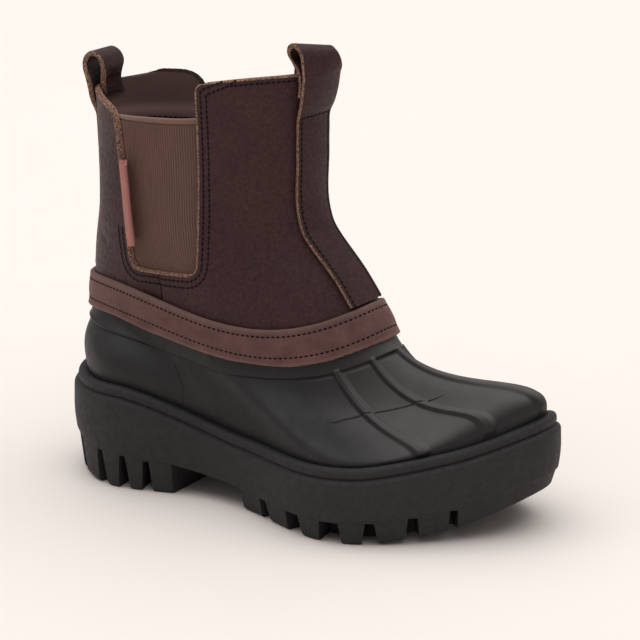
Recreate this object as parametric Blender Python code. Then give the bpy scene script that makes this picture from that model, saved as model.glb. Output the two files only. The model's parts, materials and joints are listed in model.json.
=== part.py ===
"""A child's pull-on winter boot for the right foot.

A moulded rubber shell stands in the cup of a lugged sole. A leather band joins the shell to a leather
shaft, which has an elastic gore on each side and a pull strap at the front and at the back.

Sizes are in millimetres, and each mesh is scaled to metres as it is made. +X runs from heel to toe,
-Y is the outer side of the foot, +Z is up, and the floor is at Z = 0.

A place on the upper is given by two numbers. The turn u runs once round the boot: 0 at the heel, 0.25 at
the outer side, 0.5 at the toe and 0.75 at the inner side. The step v runs up it: 0 at the sole's rim, 1 at
the joint of shell and shaft, and 2 at the collar.
"""

import math

import bmesh
import bpy
import numpy as np

MM = 0.001

# Walls, and the gap between pieces that meet
FIT_GAP = 0.3
RUBBER_WALL = 2.6
LEATHER_WALL = 2.1
GORE_WALL = 1.4

# Sole's outline from above: x from the back of the heel, y from the middle line
OUTLINE = (
    ("heel back", 0.0, -4.0),
    ("heel outer", 29.0, -42.0),
    ("waist outer", 75.0, -35.0),
    ("ball outer", 138.0, -53.5),
    ("toe outer", 192.0, -23.0),
    ("toe", 212.0, 6.0),
    ("toe inner", 197.0, 32.0),
    ("ball inner", 150.0, 37.0),
    ("waist inner", 90.0, 25.0),
    ("heel inner", 32.0, 29.0),
)
TOE_ROW = 5
RUN_SAMPLES = 80

# Heights along the sole, by x: top of the rim, heads of the side lugs, and underside with its toe spring
LEVEL_X = (0.0, 35.0, 90.0, 150.0, 185.0, 212.0)
LEVELS = {
    "rim": (42.0, 43.5, 30.5, 31.5, 37.5, 47.5),
    "lug": (18.5, 17.0, 10.0, 10.5, 15.0, 25.0),
    "ground": (1.5, 0.0, 0.0, 0.0, 5.0, 17.0),
}

# Sole's side from the tread up over the rim into the cup: inset from the outline, level, rise above it
RIM_INSET = 5.6
CUP_DEPTH = 6.0
SOLE_PROFILE = (
    ("tread edge", 5.2, "ground", 0.0),
    ("tread bevel", 3.8, "ground", 1.2),
    ("lug head", 1.8, "lug", -0.5),
    ("wall foot", 1.0, "lug", 0.0),
    ("wall belly", 0.0, "lug", 7.0),
    ("wall top", 0.2, "rim", -6.0),
    ("wall shoulder", 0.9, "rim", -4.9),
    ("groove", 2.6, "rim", -4.4),
    ("bead foot", 1.9, "rim", -3.6),
    ("bead crown", 1.9, "rim", -1.2),
    ("bead lip", 3.0, "rim", 0.0),
    ("cup lip", RIM_INSET, "rim", -0.3),
    ("cup floor", RIM_INSET, "rim", -CUP_DEPTH),
)

# Gaps between the side lugs: turn, width at the lugs' heads and width at the floor
TREAD_GAPS = (
    ("heel corner", 0.060, 2.6, 5.0),
    ("heel 1", 0.095, 2.8, 6.0),
    ("heel 2", 0.118, 2.4, 6.0),
    ("heel 3", 0.138, 2.4, 5.4),
    ("forefoot 1", 0.248, 4.2, 6.8),
    ("forefoot 2", 0.285, 7.4, 9.4),
    ("forefoot 3", 0.322, 8.0, 10.4),
    ("forefoot 4", 0.355, 3.6, 7.4),
    ("forefoot 5", 0.388, 4.0, 6.0),
    ("toe", 0.419, 3.2, 4.2),
)
GAP_REACH = 4.0
GAP_DEPTH = 15.0
GAP_LIFT = 0.2
GAP_SLOPE = 0.6
CUT_BELOW = 2.0

# Gap under the arch, between the heel's breast and the first forefoot lug
ARCH_BACK = 60.5
ARCH_FRONT = 93.5
ARCH_DRAFT = 1.0
ARCH_STEPS = 7

# Channels along the tread: x and y of both ends
CHANNEL_WIDTH = 6.0
CHANNEL_DEPTH = 4.5
TREAD_CHANNELS = (
    ("heel", 8.0, -5.0, 64.0, -5.0),
    ("forefoot", 90.0, -6.0, 196.0, -4.0),
)

# Insole on the floor of the cup
INSOLE_THICKNESS = 4.0
INSOLE_SLACK = 1.0

# Rings of the upper: step v, x at back and front, y of the middle, half-width, heights at back, side and
# front, sag of the front quarters, bluntness of back and front, and turn from the sole's length in degrees
RINGS = (
    ("joint", 1.00, 4.0, 141.5, -2.5, 31.5, 69.5, 69.0, 77.0, 11.0, 0.10, 0.05, -3.0),
    ("instep", 1.15, 8.0, 129.0, -3.0, 31.5, 89.5, 85.0, 94.0, 4.5, 0.05, 0.05, -2.0),
    ("ankle", 1.32, 11.0, 112.0, -3.0, 30.5, 108.0, 101.5, 114.5, 0.0, 0.00, -0.10, -2.0),
    ("shin", 1.65, 8.5, 110.5, -2.0, 29.0, 137.0, 136.0, 144.5, 0.5, -0.10, 0.05, -4.5),
    ("collar", 2.00, 13.0, 112.5, -2.0, 30.5, 159.5, 168.5, 177.0, -9.0, -0.20, 0.05, -5.0),
)

# How the shell leaves the rim and reaches the joint, from heel (0) to toe (1): the height and the outward
# lean of its lower handle, and the length of its upper one
LAST = (
    ("heel", 0.00, 18.0, 5.0, 14.0),
    ("heel side", 0.25, 18.0, 4.0, 8.0),
    ("waist", 0.50, 10.5, 2.0, 11.0),
    ("ball", 0.75, 7.0, 1.5, 36.5),
    ("toe side", 0.90, 23.0, -1.0, 49.0),
    ("toe", 1.00, 24.5, 6.0, 37.0),
)

# Shell: it lies a step below the strip under the band, and its ridges run from that strip to the toe
STRIP_FOOT = 11.5
STRIP_STEP = 0.6
SHELL_RECESS = 0.9
RIDGE_RISE = 1.3
RIDGE_END = 0.08
RIDGE_FADE = 0.12

# Each ridge: its turn, and half the width of its foot and of its crown, in turns
RIDGES = (
    ("outer side", 0.396, 0.0065, 0.0030),
    ("outer front", 0.447, 0.0065, 0.0030),
    ("middle", 0.500, 0.0090, 0.0050),
    ("inner front", 0.553, 0.0065, 0.0030),
    ("inner side", 0.604, 0.0065, 0.0030),
)

# Band over the joint: how far it reaches up and down from there
BAND_UP = 10.0
BAND_DOWN = 5.5
BAND_THICKNESS = 1.8

# Gore notches from the side, from the back of the collar round to its front: x, z and corner radius
NOTCH_REACH = 60.0
NOTCH_START = 1.0
NOTCH_OUTER = (
    ("above back", -6.0, 190.0, 0.0),
    ("collar back", -6.0, 158.5, 0.0),
    ("rear corner", 25.5, 154.5, 6.0),
    ("rear foot", 38.5, 90.5, 6.0),
    ("front foot", 72.0, 93.0, 6.0),
    ("front corner", 71.0, 170.5, 5.0),
    ("collar front", 84.0, 177.0, 0.0),
    ("above front", 84.0, 190.0, 0.0),
)
NOTCH_INNER = (
    ("above back", 12.0, 190.0, 0.0),
    ("collar back", 12.0, 166.0, 0.0),
    ("rear corner", 37.5, 161.5, 9.0),
    ("rear foot", 43.5, 90.5, 6.0),
    ("front foot", 79.0, 93.0, 6.0),
    ("front corner", 80.0, 172.0, 5.0),
    ("collar front", 92.0, 178.0, 0.0),
    ("above front", 92.0, 190.0, 0.0),
)

# Gore panels behind the notches, in turns and steps of the upper
GORE_TURNS = (0.135, 0.320)
GORE_STEPS = (1.14, 1.842)

# Pull straps: the path of a strap's middle layer from below the loop's seam, over the loop and down to
# its tail, as the distance out from the leather and the height above the collar
STRAP_WIDTH = 15.0
STRAP_THICKNESS = 2.1
STRAP_EASE = 10.0
STRAP_FOOT_GAP = 0.9
FRONT_TURN = 0.492
FRONT_LEAN = 19.0
FRONT_TWIST = -14.0
BACK_TURN = 0.018
BACK_LEAN = 30.0
BACK_TWIST = 0.0
STRAP_PATH = (
    ("leg", 1.5, -32.0),
    ("below the tail", 1.6, -27.0),
    ("over the tail", 4.0, -20.0),
    ("seam", 4.0, -14.0),
    ("swell", 5.2, -6.0),
    ("front", 6.8, 1.0),
    ("front top", 7.4, 6.5),
    ("crown", 2.2, 11.0),
    ("back top", -3.4, 7.5),
    ("back", -1.2, 3.6),
    ("collar", 1.6, 0.8),
    ("tail side", 1.6, -6.0),
    ("tail", 1.6, -17.0),
)

# Plain folded tag at the rear edge of the outer gore, from its top to its foot
TAG_TURNS = (0.1700, 0.1830)
TAG_STEPS = (1.615, 1.288)
TAG_LIFT = -0.8
TAG_ANGLE = 58.0
TAG_DEPTH = 9.0
TAG_THICKNESS = 3.0
TAG_SLOT = 0.7

# How finely each piece is divided
SOLE_TURNS = 80
INSOLE_TURNS = 48
SHELL_TURNS = 60
SHELL_ROWS = 8
SHELL_INNER_ROWS = 5
SHAFT_TURNS = 60
SHAFT_ROWS = (1.19, 1.32, 1.48, 1.65, 1.82, 2.0)
NOTCH_ARC = 6
GORE_COLUMNS = 10
GORE_ROWS = 8
BAND_TURNS = 60
STRAP_LOOP_ROWS = 30
STRAP_COLUMNS = 5
TAG_ROWS = 5
TAG_BEND = 7

# Finishes: colour and roughness
RUBBER = ((0.032, 0.030, 0.031), 0.55)
LEATHER = ((0.050, 0.030, 0.028), 0.45)
BAND_LEATHER = ((0.110, 0.055, 0.048), 0.80)
ELASTIC = ((0.120, 0.072, 0.050), 0.85)
FELT = ((0.200, 0.190, 0.180), 0.95)
TAG_LEATHER = ((0.300, 0.130, 0.105), 0.70)
SMOOTH_ANGLE = math.radians(35)


def hermite(t, width, start, leave, end, arrive):
    """A cubic from start to end over a run of the given width, with its slopes at both ends."""
    return (
        start * (1 + 2 * t) * (1 - t) ** 2
        + leave * width * t * (1 - t) ** 2
        + end * (3 - 2 * t) * t**2
        + arrive * width * (t - 1) * t**2
    )


def smooth(at, knots, values, flat_ends=False):
    """A smooth curve through the values at the knots that never overshoots them."""
    knots = np.asarray(knots, float)
    values = np.asarray(values, float)
    at = np.clip(np.asarray(at, float), knots[0], knots[-1])
    step = np.diff(knots)
    rise = np.diff(values) / step
    slope = np.zeros(len(knots))
    same = rise[:-1] * rise[1:] > 0
    slope[1:-1][same] = 2 * (rise[:-1] * rise[1:])[same] / (rise[:-1] + rise[1:])[same]
    if not flat_ends:
        slope[0], slope[-1] = rise[0], rise[-1]
    i = np.clip(np.searchsorted(knots, at, side="right") - 1, 0, len(step) - 1)
    return hermite((at - knots[i]) / step[i], step[i], values[i], slope[i], values[i + 1], slope[i + 1])


def closed_spline(points, samples):
    """Points along the closed cubic spline through the given ones, evenly many in each run."""
    points = np.asarray(points, float)
    count = len(points)
    chord = np.linalg.norm(np.roll(points, -1, 0) - points, axis=1)
    before = np.roll(chord, 1)
    system = np.zeros((count, count))
    right = np.zeros_like(points)
    for i in range(count):
        system[i, i - 1] = chord[i]
        system[i, i] = 2 * (chord[i] + before[i])
        system[i, (i + 1) % count] = before[i]
        ahead = (points[(i + 1) % count] - points[i]) * before[i] / chord[i]
        behind = (points[i] - points[i - 1]) * chord[i] / before[i]
        right[i] = 3 * (ahead + behind)
    slope = np.linalg.solve(system, right)
    t = np.linspace(0, 1, samples, endpoint=False)[:, None]
    following = [(i + 1) % count for i in range(count)]
    runs = [hermite(t, chord[i], points[i], slope[i], points[j], slope[j]) for i, j in enumerate(following)]
    return np.concatenate(runs)


def open_path(rows, count):
    """Points evenly along a smooth open path through the rows."""
    rows = np.asarray(rows, float)
    steps = np.concatenate([[0], np.cumsum(np.linalg.norm(np.diff(rows, axis=0), axis=1) ** 0.7)])
    slopes = np.gradient(rows, steps, axis=0)
    t = np.linspace(0, 1, 24, endpoint=False)[:, None]
    runs = []
    for i, width in enumerate(np.diff(steps)):
        runs.append(hermite(t, width, rows[i], slopes[i], rows[i + 1], slopes[i + 1]))
    fine = np.vstack(runs + [rows[-1:]])
    arc = np.concatenate([[0], np.cumsum(np.linalg.norm(np.diff(fine, axis=0), axis=1))])
    even = np.linspace(0, arc[-1], count)
    return np.stack([np.interp(even, arc, fine[:, k]) for k in range(fine.shape[1])], -1)


def trace_outline():
    """The sole's outline as a closed run of points, with the turn u at each of them."""
    run = closed_spline([row[1:] for row in OUTLINE], RUN_SAMPLES)
    run = np.vstack([run, run[:1]])
    arc = np.concatenate([[0], np.cumsum(np.linalg.norm(np.diff(run, axis=0), axis=1))])
    toe = arc[TOE_ROW * RUN_SAMPLES]
    turn = np.where(arc <= toe, 0.5 * arc / toe, 0.5 + 0.5 * (arc - toe) / (arc[-1] - toe))
    return run, turn


OUTLINE_RUN, OUTLINE_TURN = trace_outline()
ORIGIN = (*((OUTLINE_RUN.min(0) + OUTLINE_RUN.max(0)) / 2), 0.0)


def outline(u):
    """The sole's outline at the turn u, and its inward normal."""
    u = np.asarray(u, float)

    def at(turn):
        return np.stack([np.interp(turn % 1.0, OUTLINE_TURN, OUTLINE_RUN[:, k]) for k in (0, 1)], -1)

    nudge = 0.004
    along = at(u + nudge) - at(u - nudge)
    along /= np.linalg.norm(along, axis=-1, keepdims=True)
    inward = np.stack([-along[..., 1], along[..., 0]], -1)
    return at(u), inward


def level(x, name):
    """The height of one of the sole's levels at x."""
    return smooth(x, LEVEL_X, LEVELS[name])


def sole_point(u, inset, name, rise):
    """A point of the sole: inset from the outline, at a rise above one of its levels."""
    place, inward = outline(u)
    z = level(place[..., 0], name) + rise
    return np.concatenate([place + inward * inset, z[..., None]], -1)


def ring_points(u):
    """The points at the turn u of each ring of the upper."""
    angle = 2 * math.pi * np.asarray(u, float)
    back = np.maximum(np.cos(angle), 0)
    front = np.maximum(-np.cos(angle), 0)
    rings = []
    for row in RINGS:
        x_back, x_front, y_mid, half, z_back, z_side, z_front, sag, blunt_back, blunt_front, turn = row[2:]
        x = (x_back - x_front) / 2 * np.cos(angle)
        y = -half * np.sin(angle) * (1 + blunt_back * back**2 + blunt_front * front**2)
        z = z_side + (z_back - z_side) * back**2 + (z_front - z_side) * front**2
        z = z + sag * np.sin(angle) ** 2 * np.cos(angle)
        turn = math.radians(turn)
        along = (x_back + x_front) / 2 + x * math.cos(turn) - y * math.sin(turn)
        across = y_mid + x * math.sin(turn) + y * math.cos(turn)
        rings.append(np.stack([along, across, z], -1))
    return rings


def upper_point(u, v):
    """The upper's outer surface at the turn u and the step v."""
    u, v = np.broadcast_arrays(np.asarray(u, float), np.asarray(v, float))
    steps = [row[1] for row in RINGS]
    rings = ring_points(u)
    last = len(rings) - 1
    slopes = [(rings[k + 1] - rings[k - 1]) / (steps[k + 1] - steps[k - 1]) for k in range(1, last)]
    first_slope = 2 * (rings[1] - rings[0]) / (steps[1] - steps[0]) - slopes[0]
    last_slope = 2 * (rings[last] - rings[last - 1]) / (steps[last] - steps[last - 1]) - slopes[-1]
    slopes = [first_slope, *slopes, last_slope]

    toeward = 1 - np.abs(1 - 2 * (u % 1.0))
    places = [row[1] for row in LAST]
    rise, lean, reach = (smooth(toeward, places, [row[c] for row in LAST], True) for c in (2, 3, 4))
    start = sole_point(u, RIM_INSET + FIT_GAP - SHELL_RECESS, "rim", 0.0)
    _, inward = outline(u)
    lift = start + np.concatenate([-inward * lean[..., None], rise[..., None]], -1)
    arrive = rings[0] - first_slope / np.linalg.norm(first_slope, axis=-1, keepdims=True) * reach[..., None]
    t = np.clip(v, 0, 1)[..., None]
    ease = 1 - t
    surface = start * ease**3 + 3 * lift * t * ease**2 + 3 * arrive * t**2 * ease + rings[0] * t**3

    for k in range(last):
        width = steps[k + 1] - steps[k]
        t = np.clip((v - steps[k]) / width, 0, 1)[..., None]
        run = hermite(t, width, rings[k], slopes[k], rings[k + 1], slopes[k + 1])
        surface = np.where((v > steps[k])[..., None], run, surface)
    return surface


def upper_offset(u, v, out):
    """A point at the distance out from the upper's outer surface, along its normal."""
    u, v = np.broadcast_arrays(np.asarray(u, float), np.asarray(v, float))
    du, dv = 0.002, 0.004
    around = upper_point(u + du, v) - upper_point(u - du, v)
    upward = upper_point(u, np.minimum(v + dv, 2)) - upper_point(u, np.maximum(v - dv, 0))
    normal = np.cross(around, upward)
    normal /= np.linalg.norm(normal, axis=-1, keepdims=True)
    return upper_point(u, v) + normal * np.broadcast_to(out, u.shape)[..., None]


def climb(u, distance):
    """The step v at a distance up (or down) the surface from the joint."""
    nudge = 0.02
    joint = upper_point(u, 1.0)
    beside = upper_point(u, 1 + math.copysign(nudge, distance))
    return 1 + distance * nudge / np.linalg.norm(beside - joint, axis=-1)


def add_part(name, shape, finish):
    """Scale a shape to metres about the origin, face it outwards and give it a material of its own."""
    bmesh.ops.recalc_face_normals(shape, faces=shape.faces)
    for vertex in shape.verts:
        vertex.co = [(vertex.co[k] - ORIGIN[k]) * MM for k in range(3)]
    mesh = bpy.data.meshes.new(name)
    shape.to_mesh(mesh)
    shape.free()
    mesh.shade_smooth()
    mesh.set_sharp_from_angle(angle=SMOOTH_ANGLE)
    part = bpy.data.objects.new(name, mesh)
    bpy.context.scene.collection.objects.link(part)
    colour, roughness = finish
    material = bpy.data.materials.new(name)
    material.use_nodes = True
    shader = material.node_tree.nodes["Principled BSDF"]
    shader.inputs["Base Color"].default_value = (*colour, 1.0)
    shader.inputs["Roughness"].default_value = roughness
    shader.inputs["Metallic"].default_value = 0.0
    mesh.materials.append(material)
    return part


def join_loops(shape, low, high):
    """Faces between two closed loops of equally many vertices."""
    for i in range(len(low)):
        j = (i + 1) % len(low)
        shape.faces.new((low[i], low[j], high[j], high[i]))


def wall(rings):
    """A closed shape through rings of points, the last of them joined to the first."""
    shape = bmesh.new()
    loops = [[shape.verts.new(point) for point in ring] for ring in rings]
    for low, high in zip(loops, loops[1:] + loops[:1]):
        join_loops(shape, low, high)
    bmesh.ops.triangulate(shape, faces=shape.faces)
    return shape


def slab(rings):
    """A closed shape through rings of points, with both ends barred straight across the boot."""
    shape = bmesh.new()
    loops = [[shape.verts.new(point) for point in ring] for ring in rings]
    for low, high in zip(loops, loops[1:]):
        join_loops(shape, low, high)
    for end in (loops[0], loops[-1]):
        half = len(end) // 2
        shape.faces.new((end[0], end[1], end[-1]))
        for i in range(1, half - 1):
            shape.faces.new((end[i], end[i + 1], end[-i - 1], end[-i]))
        shape.faces.new((end[half - 1], end[half], end[half + 1]))
    bmesh.ops.triangulate(shape, faces=shape.faces)
    return shape


def prism(bottom, top):
    """A closed shape between two outlines of equal length."""
    shape = bmesh.new()
    low = [shape.verts.new(point) for point in bottom]
    high = [shape.verts.new(point) for point in top]
    join_loops(shape, low, high)
    shape.faces.new(low[::-1])
    shape.faces.new(high)
    return shape


def cut(part, name, shapes):
    """Cut shapes out of a part, keeping them as unrendered cutters."""
    cutters = bpy.data.collections.new(name)
    bpy.context.scene.collection.children.link(cutters)
    for i, shape in enumerate(shapes):
        cutter = add_part(f"{name}_{i}", shape, RUBBER)
        bpy.context.scene.collection.objects.unlink(cutter)
        cutters.objects.link(cutter)
        cutter.hide_render = True
        cutter.display_type = "WIRE"
    boolean = part.modifiers.new(name, "BOOLEAN")
    boolean.operation = "DIFFERENCE"
    boolean.solver = "EXACT"
    boolean.operand_type = "COLLECTION"
    boolean.collection = cutters


def tread_gap(turn, head_width, foot_width):
    """A gap between two side lugs: narrow at their heads, wider at the floor, lower towards the middle."""
    place, inward = outline(turn)
    along = np.array([inward[1], -inward[0]])
    floor, head = level(place[0], "ground"), level(place[0], "lug")
    deep = floor + GAP_SLOPE * (head - floor)
    plan = ((-GAP_REACH, -0.5), (GAP_DEPTH, -0.5), (GAP_DEPTH, 0.5), (-GAP_REACH, 0.5))
    heads = (head + GAP_LIFT, deep, deep, head + GAP_LIFT)

    def corner(inset, side, z):
        return (*(place + inward * inset + along * side), z)

    bottom = [corner(inset, side * foot_width, floor - CUT_BELOW) for inset, side in plan]
    top = [corner(inset, side * head_width, z) for (inset, side), z in zip(plan, heads)]
    return prism(bottom, top)


def tread_channel(start, end):
    """A shallow straight channel along the tread between two places."""
    start, end = np.array(start), np.array(end)
    across = np.array([start[1] - end[1], end[0] - start[0]])
    across *= CHANNEL_WIDTH / 2 / np.linalg.norm(across)
    plan = [start - across, end - across, end + across, start + across]
    bottom = [(*place, -CUT_BELOW) for place in plan]
    top = [(*place, level(place[0], "ground") + CHANNEL_DEPTH) for place in plan]
    return prism(bottom, top)


def arch_gap():
    """The gap under the arch, right across the sole."""
    side = [(ARCH_BACK - ARCH_DRAFT, -CUT_BELOW)]
    side += [(x, level(x, "lug") + GAP_LIFT) for x in np.linspace(ARCH_BACK, ARCH_FRONT, ARCH_STEPS)]
    side += [(ARCH_FRONT + ARCH_DRAFT, -CUT_BELOW)]
    return prism([(x, -NOTCH_REACH, z) for x, z in side], [(x, NOTCH_REACH, z) for x, z in side])


def make_outsole():
    turns = np.arange(SOLE_TURNS) / SOLE_TURNS
    rings = [sole_point(turns, inset, name, rise) for _, inset, name, rise in SOLE_PROFILE]
    sole = add_part("outsole", slab(rings), RUBBER)
    gaps = [tread_gap(turn, head, foot) for _, turn, head, foot in TREAD_GAPS]
    gaps += [tread_gap(1 - turn, head, foot) for _, turn, head, foot in TREAD_GAPS]
    channels = [tread_channel((x0, y0), (x1, y1)) for _, x0, y0, x1, y1 in TREAD_CHANNELS]
    cut(sole, "tread_cutter", gaps + channels + [arch_gap()])


def make_insole():
    turns = np.arange(INSOLE_TURNS) / INSOLE_TURNS
    inset = RIM_INSET + 2 * FIT_GAP + RUBBER_WALL + INSOLE_SLACK
    floor = 2 * FIT_GAP - CUP_DEPTH
    low = sole_point(turns, inset, "rim", floor)
    high = sole_point(turns, inset + INSOLE_SLACK, "rim", floor + INSOLE_THICKNESS)
    add_part("insole", slab([low, high]), FELT)


def shell_turns():
    """Turns round the shell: even ones, with the four edges of each ridge in place of those beside it."""
    even = np.arange(SHELL_TURNS) / SHELL_TURNS
    edges = []
    for _, middle, foot, crown in RIDGES:
        even = even[np.abs(even - middle) > foot * 1.4]
        edges += [middle - foot, middle - crown, middle + crown, middle + foot]
    return np.sort(np.concatenate([even, edges]))


def ridge_height(turns, v):
    """How far the ridges stand from the shell, fading out above the rim."""
    height = np.zeros_like(turns)
    for _, middle, foot, crown in RIDGES:
        beside = np.clip((foot - np.abs(turns - middle)) / (foot - crown), 0, 1)
        height = np.maximum(height, RIDGE_RISE * beside)
    return height * np.clip((v - RIDGE_END) / RIDGE_FADE, 0, 1)


def make_shell():
    turns = shell_turns()
    skirt = RIM_INSET + FIT_GAP
    foot = FIT_GAP - CUP_DEPTH
    strip = climb(turns, -STRIP_FOOT)
    top = climb(turns, -FIT_GAP / 2)
    rings = [sole_point(turns, skirt, "rim", foot)]
    for part_way in np.linspace(0, 1, SHELL_ROWS):
        v = strip * part_way
        rings.append(upper_offset(turns, v, ridge_height(turns, v) - SHELL_RECESS))
    for down in (STRIP_FOOT - STRIP_STEP, BAND_DOWN, FIT_GAP / 2):
        rings.append(upper_offset(turns, climb(turns, -down), 0.0))
    for part_way in np.linspace(1, 0, SHELL_INNER_ROWS):
        rings.append(upper_offset(turns, top * part_way, -SHELL_RECESS - RUBBER_WALL))
    rings.append(sole_point(turns, skirt + RUBBER_WALL, "rim", foot))
    add_part("rubber_shell", wall(rings), RUBBER)


def notch_outline(rows):
    """A gore notch seen from the side, with its corners rounded off."""
    corners = [np.array([x, z]) for _, x, z, _ in rows]
    points = []
    for i, (_, _, _, radius) in enumerate(rows):
        here = corners[i]
        if not radius:
            points.append(here)
            continue
        to_back, to_ahead = corners[i - 1] - here, corners[i + 1] - here
        to_back /= np.linalg.norm(to_back)
        to_ahead /= np.linalg.norm(to_ahead)
        run = radius / math.tan(math.acos(to_back @ to_ahead) / 2)
        for t in np.linspace(0, 1, NOTCH_ARC):
            points.append(here + to_back * run * (1 - t) ** 2 + to_ahead * run * t**2)
    return points


def make_shaft():
    turns = np.arange(SHAFT_TURNS) / SHAFT_TURNS
    rows = [climb(turns, up) for up in (FIT_GAP / 2, BAND_UP / 2, BAND_UP)] + list(SHAFT_ROWS)
    rings = [upper_offset(turns, v, 0.0) for v in rows]
    rings += [upper_offset(turns, v, -LEATHER_WALL) for v in rows[::-1]]
    shaft = add_part("leather_shaft", wall(rings), LEATHER)
    notches = []
    for corners, side in ((NOTCH_OUTER, -1), (NOTCH_INNER, 1)):
        edge = notch_outline(corners)
        near = [(x, side * NOTCH_START, z) for x, z in edge]
        far = [(x, side * NOTCH_REACH, z) for x, z in edge]
        notches.append(prism(near, far))
    cut(shaft, "notch_cutter", notches)


def make_gore(name, turns):
    """An elastic panel behind a notch, lapped by the leather round its sides and foot."""
    up = np.linspace(*GORE_STEPS, GORE_ROWS)
    outer, inner = -LEATHER_WALL - FIT_GAP, -LEATHER_WALL - FIT_GAP - GORE_WALL
    rings = []
    for turn in np.linspace(*turns, GORE_COLUMNS):
        rings.append(np.vstack([upper_offset(turn, up, outer), upper_offset(turn, up[::-1], inner)]))
    add_part(name, strip(rings), ELASTIC)


def strip(rings):
    """A closed shape through long thin rings, whose ends are each barred across the ring."""
    shape = bmesh.new()
    loops = [[shape.verts.new(point) for point in ring] for ring in rings]
    for low, high in zip(loops, loops[1:]):
        join_loops(shape, low, high)
    for end in (loops[0], loops[-1]):
        for i in range(len(end) // 2 - 1):
            shape.faces.new((end[i], end[i + 1], end[-i - 2], end[-i - 1]))
    bmesh.ops.triangulate(shape, faces=shape.faces)
    return shape


def make_band():
    turns = np.arange(BAND_TURNS) / BAND_TURNS
    outer = FIT_GAP + BAND_THICKNESS
    edge = BAND_THICKNESS / 3
    section = (
        (-BAND_DOWN, FIT_GAP),
        (-BAND_DOWN, outer - edge),
        (-BAND_DOWN + edge, outer),
        (0.0, outer),
        (BAND_UP / 2, outer),
        (BAND_UP - edge, outer),
        (BAND_UP, outer - edge),
        (BAND_UP, FIT_GAP),
        (BAND_UP / 2, FIT_GAP),
        (0.0, FIT_GAP),
    )
    rings = [upper_offset(turns, climb(turns, up), out) for up, out in section]
    add_part("band", wall(rings), BAND_LEATHER)


def strap_spine(middle, start):
    """Steps from a start to the collar along the middle of a strap, and each one's depth below the collar."""
    steps = np.linspace(start, 2.0, 60)
    spine = upper_point(middle, steps)
    runs = np.linalg.norm(np.diff(spine, axis=0), axis=1)
    depth = np.concatenate([np.cumsum(runs[::-1])[::-1], [0]])
    return steps, spine, depth


def strap_points(middle, lean, twist, out, up, side):
    """Places on a strap: out from the leather, up from the collar, and across it from -1 to 1."""
    steps, spine, depth = strap_spine(middle, 1.0)
    v = np.full_like(side, np.interp(up, -depth, steps))
    nudge = 0.004
    speed = np.linalg.norm(upper_point(middle + nudge, v) - upper_point(middle - nudge, v), axis=-1)
    half = STRAP_WIDTH / 2
    place = upper_offset(middle + side * half * 2 * nudge / speed, v, out)
    if up <= 0:
        return place

    # Above the collar the strap leans to the heel, flattens out and turns about the line in which it rises
    upward = np.array([-math.sin(lean), 0.0, math.cos(lean)])
    ends = upper_point(np.array([middle + nudge, middle - nudge]), 2.0)
    across = (ends[0] - ends[1]) / np.linalg.norm(ends[0] - ends[1])
    flat = spine[-1] + out * np.cross(across, upward) + (side * half)[:, None] * across
    share = min(up / STRAP_EASE, 1.0)
    ease = share * share * (3 - 2 * share)
    arm = place * (1 - ease) + flat * ease + up * upward - spine[-1]
    along = (arm @ upward)[:, None] * upward
    angle = twist * share
    return spine[-1] + along + (arm - along) * math.cos(angle) + np.cross(upward, arm) * math.sin(angle)


def make_strap(name, middle, lean, twist):
    pose = (middle, math.radians(lean), math.radians(twist))
    foot = float(climb(middle, BAND_UP + STRAP_FOOT_GAP))
    steps, _, depth = strap_spine(middle, foot)
    route = [(out, up) for _, out, up in STRAP_PATH]
    leg_out, leg_top = route[0]
    heights = -np.interp([foot, *SHAFT_ROWS], steps, depth)
    leg = [(leg_out, up) for up in heights if up < leg_top]
    path = np.vstack([leg, open_path(route, STRAP_LOOP_ROWS)])
    along = np.gradient(path, axis=0)
    along /= np.linalg.norm(along, axis=1, keepdims=True)
    beside = np.stack([along[:, 1], -along[:, 0]], -1) * STRAP_THICKNESS / 2
    side = np.linspace(-1, 1, STRAP_COLUMNS)
    rings = []
    for here, away in zip(path, beside):
        outer = strap_points(*pose, *(here + away), side)
        inner = strap_points(*pose, *(here - away), side[::-1])
        rings.append(np.vstack([outer, inner]))
    add_part(name, strip(rings), LEATHER)


def make_tag():
    """A plain folded tab standing out from the rear edge of the outer gore."""
    angle = math.radians(TAG_ANGLE)
    out = np.array([math.cos(angle), -math.sin(angle)])
    across = np.array([-out[1], out[0]])
    half, slot, straight = TAG_THICKNESS / 2, TAG_SLOT / 2, TAG_DEPTH - TAG_THICKNESS / 2
    bends = np.linspace(0, math.pi, TAG_BEND)
    section = [(0.0, -half)] + [(straight + half * math.sin(a), -half * math.cos(a)) for a in bends]
    section += [(0.0, half), (0.0, slot), (straight, slot), (straight, -slot), (0.0, -slot)]
    shape = bmesh.new()
    loops = []
    for turn, v in zip(np.linspace(*TAG_TURNS, TAG_ROWS), np.linspace(*TAG_STEPS, TAG_ROWS)):
        root = upper_offset(turn, v, TAG_LIFT)
        loops.append([shape.verts.new((*(root[:2] + out * d + across * w), root[2])) for d, w in section])
    for low, high in zip(loops, loops[1:]):
        join_loops(shape, low, high)
    shape.faces.new(loops[0])
    shape.faces.new(loops[-1])
    bmesh.ops.triangulate(shape, faces=shape.faces)
    add_part("tag", shape, TAG_LEATHER)


def main():
    for old in list(bpy.data.objects):
        bpy.data.objects.remove(old)
    make_outsole()
    make_insole()
    make_shell()
    make_shaft()
    make_gore("gore_outer", GORE_TURNS)
    make_gore("gore_inner", [1 - turn for turn in GORE_TURNS])
    make_band()
    make_strap("pull_strap_front", FRONT_TURN, FRONT_LEAN, FRONT_TWIST)
    make_strap("pull_strap_back", BACK_TURN, BACK_LEAN, BACK_TWIST)
    make_tag()


if __name__ == "__main__":
    main()
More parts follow.
